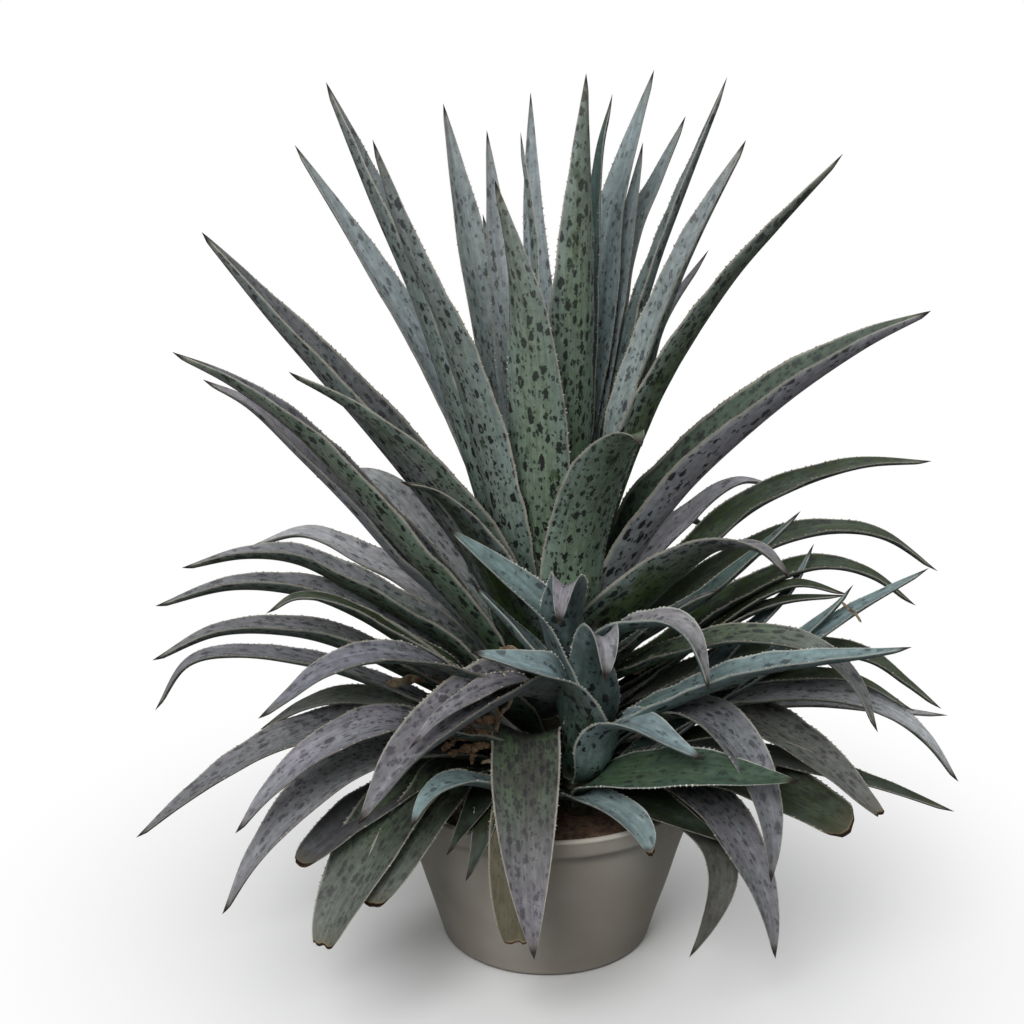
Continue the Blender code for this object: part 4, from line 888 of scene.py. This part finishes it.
def turnedMesh(name, profile, steps, wobble, seed):
    # a solid turned about Z, a little uneven; the profile runs from axis to axis
    draw = random.Random(seed)
    phases = [(draw.uniform(0, math.tau), draw.randint(3, 9), draw.uniform(30, 90)) for _ in range(5)]
    shape = bmesh.new()
    rings = []
    for radius, up in profile:
        ring = []
        for step in range(steps if radius > 1e-6 else 1):
            turn = math.tau * step / steps
            swell = sum(math.sin(lobes * turn + phase + up * rise) for phase, lobes, rise in phases)
            grown = radius + wobble * swell / 3 if radius > 1e-6 else 0
            ring.append(shape.verts.new((grown * math.cos(turn), grown * math.sin(turn), up)))
        rings.append(ring)
    for low, high in zip(rings, rings[1:]):
        for step in range(steps):
            after = (step + 1) % steps
            corners = (low[step % len(low)], low[after % len(low)], high[after % len(high)],
                       high[step % len(high)])
            shape.faces.new(list(dict.fromkeys(corners)))
    return meshFrom(shape, name)


def straight(first, last, steps):
    return [tuple(a + (b - a) * step / steps for a, b in zip(first, last)) for step in range(steps + 1)]


def curved(x, y, wide, high, steps, start=0, end=90):
    # part of an ellipse round x, y, in degrees from its outer side
    turns = [math.radians(start + (end - start) * step / steps) for step in range(steps + 1)]
    return [(x + wide * math.cos(turn), y + high * math.sin(turn)) for turn in turns]


potShape = {"height": 0.205, "topRadius": 0.185, "footRadius": 0.125, "wall": 0.009, "lipShare": 0.98,
            "floor": 0.014, "flatShare": 0.9, "innerRound": 0.004, "footRound": 0.006, "band": 0.026,
            "step": 0.005, "round": 0.003, "drains": 4, "drainRadius": 0.008,
            "drainRing": 0.062, "drainDepth": 0.06, "steps": 128, "wobble": 0.0003}


def potPiece(material):
    shape = potShape
    top, height, lip, foot = shape["topRadius"], shape["height"], shape["wall"] / 2, shape["footRound"]
    slope = (top - shape["footRadius"]) / height
    inner, low = shape["footRadius"] - shape["wall"], shape["floor"] + shape["innerRound"]
    band, body = height - shape["band"], top - shape["band"] * slope - shape["step"]
    under = body - (band - foot) * slope
    profile = [(0, shape["floor"]), (shape["footRadius"] * shape["flatShare"], shape["floor"]),
               *straight((inner + low * slope, low), (inner + (height - lip) * slope, height - lip), 10),
               *curved(top - lip, height - lip, lip * shape["lipShare"], lip, 8, 180, 0)[1:-1],
               *straight((top - lip * slope, height - lip),
                         (top - (shape["band"] - shape["round"]) * slope, band + shape["round"]), 5),
               *curved(body, band + shape["round"], shape["step"], -shape["round"], 5)[1:],
               *straight((body, band), (under, foot), 14)[1:],
               *curved(under - foot, foot, foot, -foot, 5)[1:], (0, 0)]
    pot = addPiece("stoneware_pot", turnedMesh("stoneware pot", profile, shape["steps"], shape["wobble"], 11),
                   material)
    cutters = []
    for number in range(shape["drains"]):
        turn = math.tau * (number + 0.5) / shape["drains"]
        place = (shape["drainRing"] * math.cos(turn), shape["drainRing"] * math.sin(turn), shape["floor"] / 2)
        bpy.ops.mesh.primitive_cylinder_add(vertices=40, radius=shape["drainRadius"],
                                            depth=shape["drainDepth"], location=place)
        cutters.append(bpy.context.object)
        cut = pot.modifiers.new("Drain", "BOOLEAN")
        cut.operation, cut.solver, cut.object = "DIFFERENCE", "EXACT", cutters[-1]
    settle(pot)
    for cutter in cutters:
        bpy.data.objects.remove(cutter)
    finishPiece(pot, "pot")


clayLook = {"pale": (200, 194, 184), "buff": (186, 178, 166), "speck": (96, 82, 70), "speckStrength": 0.7,
            "damp": (150, 138, 122), "dampHeight": 0.05, "dampStrength": 0.28, "grainSize": 0.0022,
            "broadScale": 9, "ringScale": 420}


def clayMaterial():
    look = clayLook
    material, tree = newMaterial("stoneware", 0.72)
    place = ownPlace(tree)
    height = split(place)[2]
    grain = useGroup(tree, coarseGrain, {"Place": place, "Size": look["grainSize"]})
    broad = noise(place, look["broadScale"], 4)["Fac"]
    rings = noise(put(tree, "ShaderNodeCombineXYZ", {2: height})[0], look["ringScale"], 2)["Fac"]
    speck = ramp(grain["Grain"], 0.05, 0.16, 1.0, 0.0) * ramp(grain["Clump"], 0.52, 0.6)
    shade = mix(ramp(broad, 0.35, 0.65), look["pale"], look["buff"])
    shade = mix(speck * look["speckStrength"], shade, look["speck"])
    damp = ramp(height, 0.0, look["dampHeight"], look["dampStrength"], 0.0)
    shade = mix(damp, shade, look["damp"])
    dress(tree, shade, broad * 0.2 + 0.6, rings * 0.6 + grain["Grain"] * 0.25)
    return material


crumbShape = {"lump": 0.16, "narrow": (0.7, 0.7, 0.6), "wide": (1.3, 1.3, 1.0), "favour": 3.0,
              "growth": 1.5, "least": 0.45}


def crumbTree():
    # loose crumbs scattered over whatever lies above Floor
    shape = crumbShape
    tree, given, end = newGroup("looseCrumbs", "GeometryNodeTree", {
        "Ground": "Geometry", "Density": 9000.0, "Size": 0.003, "Seed": 1, "Floor": 0.0,
        "Crumb material": "Material"}, {"Ground": "Geometry"})
    seed = given["Seed"]
    height = split(put(tree, "GeometryNodeInputPosition")[0])[2]
    points = put(tree, "GeometryNodeDistributePointsOnFaces", {
        "Mesh": given["Ground"], "Selection": calc("GREATER_THAN", height, given["Floor"]),
        "Density": given["Density"], "Seed": seed})
    crumb = put(tree, "GeometryNodeMeshIcoSphere", {"Radius": 0.5, "Subdivisions": 1})
    lump = between((-shape["lump"],) * 3, (shape["lump"],) * 3, seed)
    rough = put(tree, "GeometryNodeSetPosition", {"Geometry": crumb[0], "Offset": lump})
    # few crumbs are large
    grown = calc("POWER", between(0.0, 1.0, seed), shape["favour"])
    size = calc("MULTIPLY_ADD", grown, shape["growth"], shape["least"]) * given["Size"]
    scale = scaled(between(shape["narrow"], shape["wide"], seed), size)
    laid = put(tree, "GeometryNodeInstanceOnPoints", {
        "Points": points["Points"], "Instance": rough[0], "Scale": scale,
        "Rotation": between((0, 0, 0), (6.28, 6.28, 6.28), seed)})
    return standOn(tree, end, given["Ground"], laid[0], given["Crumb material"])


soilShape = {"radius": 0.1715, "rings": 44, "steps": 120, "depth": 0.03, "below": 0.002, "relief": 0.0035,
             "fall": 0.005, "calm": 12, "lowerShare": 0.96, "waves": 18, "crumbs": 26000, "crumbSize": 0.0026,
             "crumbFloor": 0.012}


def soilPiece(material):
    shape = soilShape
    draw = random.Random(21)
    waves = [(draw.uniform(20, 160), draw.uniform(0, math.tau), draw.uniform(0, math.tau))
             for _ in range(shape["waves"])]

    def relief(x, y):
        total = sum(math.sin(rate * (x * math.cos(turn) + y * math.sin(turn)) + phase) / (1 + rate / 60)
                    for rate, turn, phase in waves)
        return shape["relief"] * total / 5
    ground = bmesh.new()
    middle = ground.verts.new((0, 0, soilTop - shape["below"]))
    rings = []
    for ringNumber in range(1, shape["rings"] + 1):
        share = ringNumber / shape["rings"]
        fallen = soilTop - shape["below"] - shape["fall"] * share ** 3
        calm = min(1, (1 - share) * shape["calm"])
        ring = []
        for step in range(shape["steps"]):
            turn = math.tau * step / shape["steps"]
            x, y = (shape["radius"] * share * part for part in (math.cos(turn), math.sin(turn)))
            ring.append(ground.verts.new((x, y, fallen + relief(x, y) * calm)))
        rings.append(ring)
    rings.append([ground.verts.new((vert.co.x * shape["lowerShare"], vert.co.y * shape["lowerShare"],
                                    soilTop - shape["depth"])) for vert in rings[-1]])
    bottom = ground.verts.new((0, 0, soilTop - shape["depth"]))
    for step in range(shape["steps"]):
        after = (step + 1) % shape["steps"]
        ground.faces.new((middle, rings[0][step], rings[0][after]))
        ground.faces.new((bottom, rings[-1][after], rings[-1][step]))
        for inner, outer in zip(rings, rings[1:]):
            ground.faces.new((inner[step], outer[step], outer[after], inner[after]))
    bed = addPiece("soil_bed", meshFrom(ground, "soil bed"), material)
    applyNodes(bed, crumbTree(), {"Density": shape["crumbs"], "Size": shape["crumbSize"], "Seed": 5,
                                  "Floor": soilTop - shape["crumbFloor"], "Crumb material": material})
    finishPiece(bed, "soil")


potPiece(clayMaterial())
soilPiece(earthMaterial("gritty soil", 0.003, (66, 50, 40), (126, 98, 76), 0.92, 0.0012))
print("pot and soil made")

barkSkin = earthMaterial("old leaf bases", 0.005, (40, 36, 26), (86, 78, 58), 0.85, 0.0016)
barkShape = {"rings": 61, "below": 0.001, "ridges": 900, "ridgeShare": 0.05, "inside": 0.0006,
             "wobble": 0.0009}


def crownPiece(name, crown, low, steps, node, seed):
    # the stem, ringed by old leaf bases
    shape = barkShape
    top = crown["height"] - shape["below"]
    profile = [(0, soilTop + top)]
    for up in np.linspace(top, low, shape["rings"]).tolist():
        radius = crownRadius(crown, up) * (1 + shape["ridgeShare"] * math.sin(up * shape["ridges"]))
        profile.append((radius - shape["inside"], soilTop + up))
    profile.append((0, soilTop + low))
    mesh = turnedMesh(name, profile, steps, shape["wobble"], seed)
    mesh.transform(Matrix.Translation(crown["centre"]))
    finishPiece(addPiece(name, mesh, barkSkin), node)


crownPiece("stem_core", rosette, -0.02, 48, "stem", 31)
crownPiece("offset_core", offset, -0.004, 36, "offset", 32)
print("crowns made")


stalkShape = {"radius": 0.0024, "knots": 0.35, "branchRadius": 0.0011, "branchKnots": 0.3,
              "grains": 120000, "grainSize": 0.0062}
# The dried flower stalk with its branchlets, and papery scraps with their width, all in cm as
# the rows of leaves are
stalkPath = [(-5.2, -11, -0.6), (-5.5, -11.8, 4), (-5.6, -12.2, 7.4), (-5.7, -12.2, 11), (-5.3, -12.4, 13.2),
             (-4.2, -12.6, 14.8), (-4.6, -12.4, 17.2), (-4.9, -12.2, 18)]
twigPaths = [
    [(-5.3, -12.4, 13.2), (-6.3, -12.6, 14.9), (-7, -12.8, 15.8)],
    [(-5.6, -12.2, 8), (-4.8, -12.5, 8.6), (-4.4, -12.6, 9.6)],
    [(-5.6, -12.2, 7.4), (-6.6, -12.3, 7.6), (-7.4, -12.4, 7.4)]]
clusterPaths = [
    [(-5.7, -12.2, 11), (-7.6, -13.5, 11.6), (-9.4, -13.5, 11.2), (-11.4, -13.3, 9.6)],
    [(-5.7, -12.2, 9.8), (-7.4, -13.3, 9.9), (-9.4, -13.1, 9.4), (-10.6, -12.9, 8.6)],
    [(-5.4, -12.3, 12.6), (-6.8, -13.7, 13.3), (-8.2, -13.9, 13), (-9.4, -13.9, 12.4)],
    [(-6.6, -13.3, 11.4), (-7.2, -12.9, 10.2), (-8.2, -12.5, 8.6), (-8.4, -12.3, 7.2)],
    [(-8.6, -13.5, 11.5), (-9.8, -12.9, 10.6), (-11, -12.3, 10.8), (-12, -11.9, 10.2)],
    [(-6.3, -12.6, 14.9), (-7, -13.5, 14.6), (-7.4, -13.5, 13.8)]]
scrapRows = {
    "papery_scrap_1": (1.5, [(-5.4, -7.4, 17.8), (-4.6, -8, 18.6), (-4, -8.4, 18.8), (-3.2, -8.6, 18.5)]),
    "papery_scrap_2": (1.1, [(-17.8, -7.6, 14.4), (-15.6, -7.4, 15), (-13.4, -7, 15), (-11.2, -6.4, 14.2)]),
    "papery_scrap_3": (0.7, [(9.2, -7.6, 15.8), (10.4, -8, 17), (11.4, -8.2, 18.4)]),
    "papery_scrap_4": (0.34, [(31.2, -9.8, 25.3), (31.9, -10.2, 24.6), (32.6, -10.4, 24.2),
                              (33.3, -10.6, 23.2)]),
}
tubeShape = {"gap": 0.0016, "fewest": 6, "beats": 5, "twist": 60, "endSize": 0.35}


def tubeMesh(name, paths, radius, knots, seed, flat=1.0, around=9):
    # round or flattened tubes along smooth paths, uneven in thickness, with closed ends
    shape = tubeShape
    draw = random.Random(seed)
    verts, faces = [], []
    for path in paths:
        dense, run = smoothPath([np.array(point) * cm + (0, 0, soilTop) for point in path])
        count = max(shape["fewest"], int(run[-1] / shape["gap"]))
        place = placesAt(np.linspace(0, run[-1], count), dense, run)
        along = unit(np.gradient(place, axis=0))
        side = unit(np.cross(along, (0.3, 1.0, 0.2)))
        face = np.cross(along, side)
        beats = [(draw.uniform(250, 900), draw.uniform(0, math.tau)) for _ in range(shape["beats"])]
        spin = draw.uniform(0, math.tau)
        first, last = len(verts), len(verts) + (count - 1) * around
        for row in range(count):
            here = run[-1] * row / (count - 1)
            ends = min(1, (min(row, count - 1 - row) + shape["endSize"]) / 2)
            for step in range(around):
                turn = math.tau * step / around + spin + here * shape["twist"]
                lump = sum(math.sin(rate * here + phase + 2 * turn) for rate, phase in beats) / shape["beats"]
                size = radius * ends * (1 + knots * lump)
                spoke = side[row] * math.cos(turn) * size + face[row] * math.sin(turn) * size * flat
                verts.append(place[row] + spoke)
        faces += [*ringFaces(first, count, around), tuple(range(first, first + around))[::-1],
                  tuple(range(last, last + around))]
    return newMesh(name, verts, faces)


# the stalk's tan is partly its own colour and partly painted light, made lighter to make up for the shade of
# the leaves around it
stalkSkin = earthMaterial("dried stalk", 0.0024, (146, 124, 96), (208, 190, 160), 0.8, 0.0009)
grainSkin = earthMaterial("dried grains", 0.0026, (124, 95, 70), (182, 148, 116), 0.85, 0.0008)
paperSkin = earthMaterial("papery scraps", 0.003, (120, 96, 70), (176, 160, 132), 0.75, 0.0005)

stalk = tubeMesh("dried stalk", [stalkPath, *twigPaths], stalkShape["radius"], stalkShape["knots"], 41)
finishPiece(addPiece("dried_stalk", stalk, stalkSkin))
branches = tubeMesh("dried grains", clusterPaths, stalkShape["branchRadius"], stalkShape["branchKnots"], 42)
cluster = addPiece("dried_grains", branches, stalkSkin)
applyNodes(cluster, crumbTree(), {"Density": stalkShape["grains"], "Size": stalkShape["grainSize"], "Seed": 9,
                                  "Floor": 0.0, "Crumb material": grainSkin})
finishPiece(cluster)
for seed, (label, (width, path)) in enumerate(scrapRows.items(), 50):
    scrap = tubeMesh(label, [path], width * cm / 2, 0.5, seed, flat=0.09, around=14)
    finishPiece(addPiece(label, scrap, paperSkin))
print("stalk and scraps made")


def aimAt(thing, target):
    thing.rotation_euler = (target - thing.location).to_track_quat("-Z", "Y").to_euler()


view = {"lens": 76.7, "sensor": 36, "lift": math.radians(20), "away": 2.4,
        "target": Vector((-0.04, 0, 0.514))}
camera = addThing("camera", bpy.data.cameras.new("camera"))
camera.data.lens, camera.data.sensor_width = view["lens"], view["sensor"]
camera.location = view["target"] + view["away"] * Vector((0, -math.cos(view["lift"]), math.sin(view["lift"])))
aimAt(camera, view["target"])
scene.camera = camera
scene.view_settings.view_transform = "Standard"

# The room gives more light from above; the camera and shiny or clear things see it at full strength
studio = {"below": 0.03, "above": 0.43, "tint": (0.97, 1.0, 0.99, 1), "white": (1, 1, 1, 1)}
world = bpy.data.worlds.new("studio")
world.use_nodes = True
scene.world = world
tree = world.node_tree
rays = put(tree, "ShaderNodeLightPath")
direction = split(put(tree, "ShaderNodeTexCoord")["Generated"])[2]
level = ramp(direction, 0.0, 0.95, studio["below"], studio["above"])
mirrored = calc("MAXIMUM", rays["Is Glossy Ray"], rays["Is Transmission Ray"])
seen = calc("MAXIMUM", rays["Is Camera Ray"], mirrored)
fill(tree, tree.nodes["Background"], {"Color": mix(rays["Is Camera Ray"], studio["tint"], studio["white"]),
                                      "Strength": seen * (1.0 - level) + level})

# place, size and power; all of them look at the middle of the plant
lamps = {"key": ((-0.9, -2.2, 2.5), 1.9, 71), "fill": ((1.8, -1.5, 2.3), 2.4, 11),
         "back": ((0.4, 1.9, 3.0), 2.4, 14)}
for label, (place, size, power) in lamps.items():
    lamp = bpy.data.lights.new(label, "AREA")
    lamp.shape, lamp.size, lamp.energy = "DISK", size, power
    lampObject = addThing(label, lamp)
    lampObject.location = place
    aimAt(lampObject, Vector((0, 0, 0.45)))

# The floor gives off little light, and the camera sees it fade into white
ground = {"reach": 4, "lit": (0.14, 0.14, 0.14, 1), "seen": (0.86, 0.86, 0.86, 1), "fade": (0.1, 0.75)}
corners = [(x * ground["reach"], y * ground["reach"], 0) for x, y in ((-1, -1), (1, -1), (1, 1), (-1, 1))]
floorMesh = newMesh("floor", corners, [(0, 1, 2, 3)])
floorMaterial, tree = newMaterial("pale floor", 0.9)
shader = tree.nodes["Principled BSDF"]
far = put(tree, "ShaderNodeVectorMath", {0: ownPlace(tree)}, operation="LENGTH")["Value"]
seen = put(tree, "ShaderNodeLightPath")["Is Camera Ray"]
fill(tree, shader, {"Base Color": mix(seen, ground["lit"], ground["seen"])})
glow = put(tree, "ShaderNodeEmission", {"Color": studio["white"], "Strength": 1.0})
both = put(tree, "ShaderNodeMixShader", {0: seen * ramp(far, *ground["fade"]),
                                         1: Wire(tree, shader.outputs[0]), 2: glow[0]})
fill(tree, tree.nodes["Material Output"], {0: both[0]})
floor = addPiece("floor", floorMesh, floorMaterial)
print("stage set")
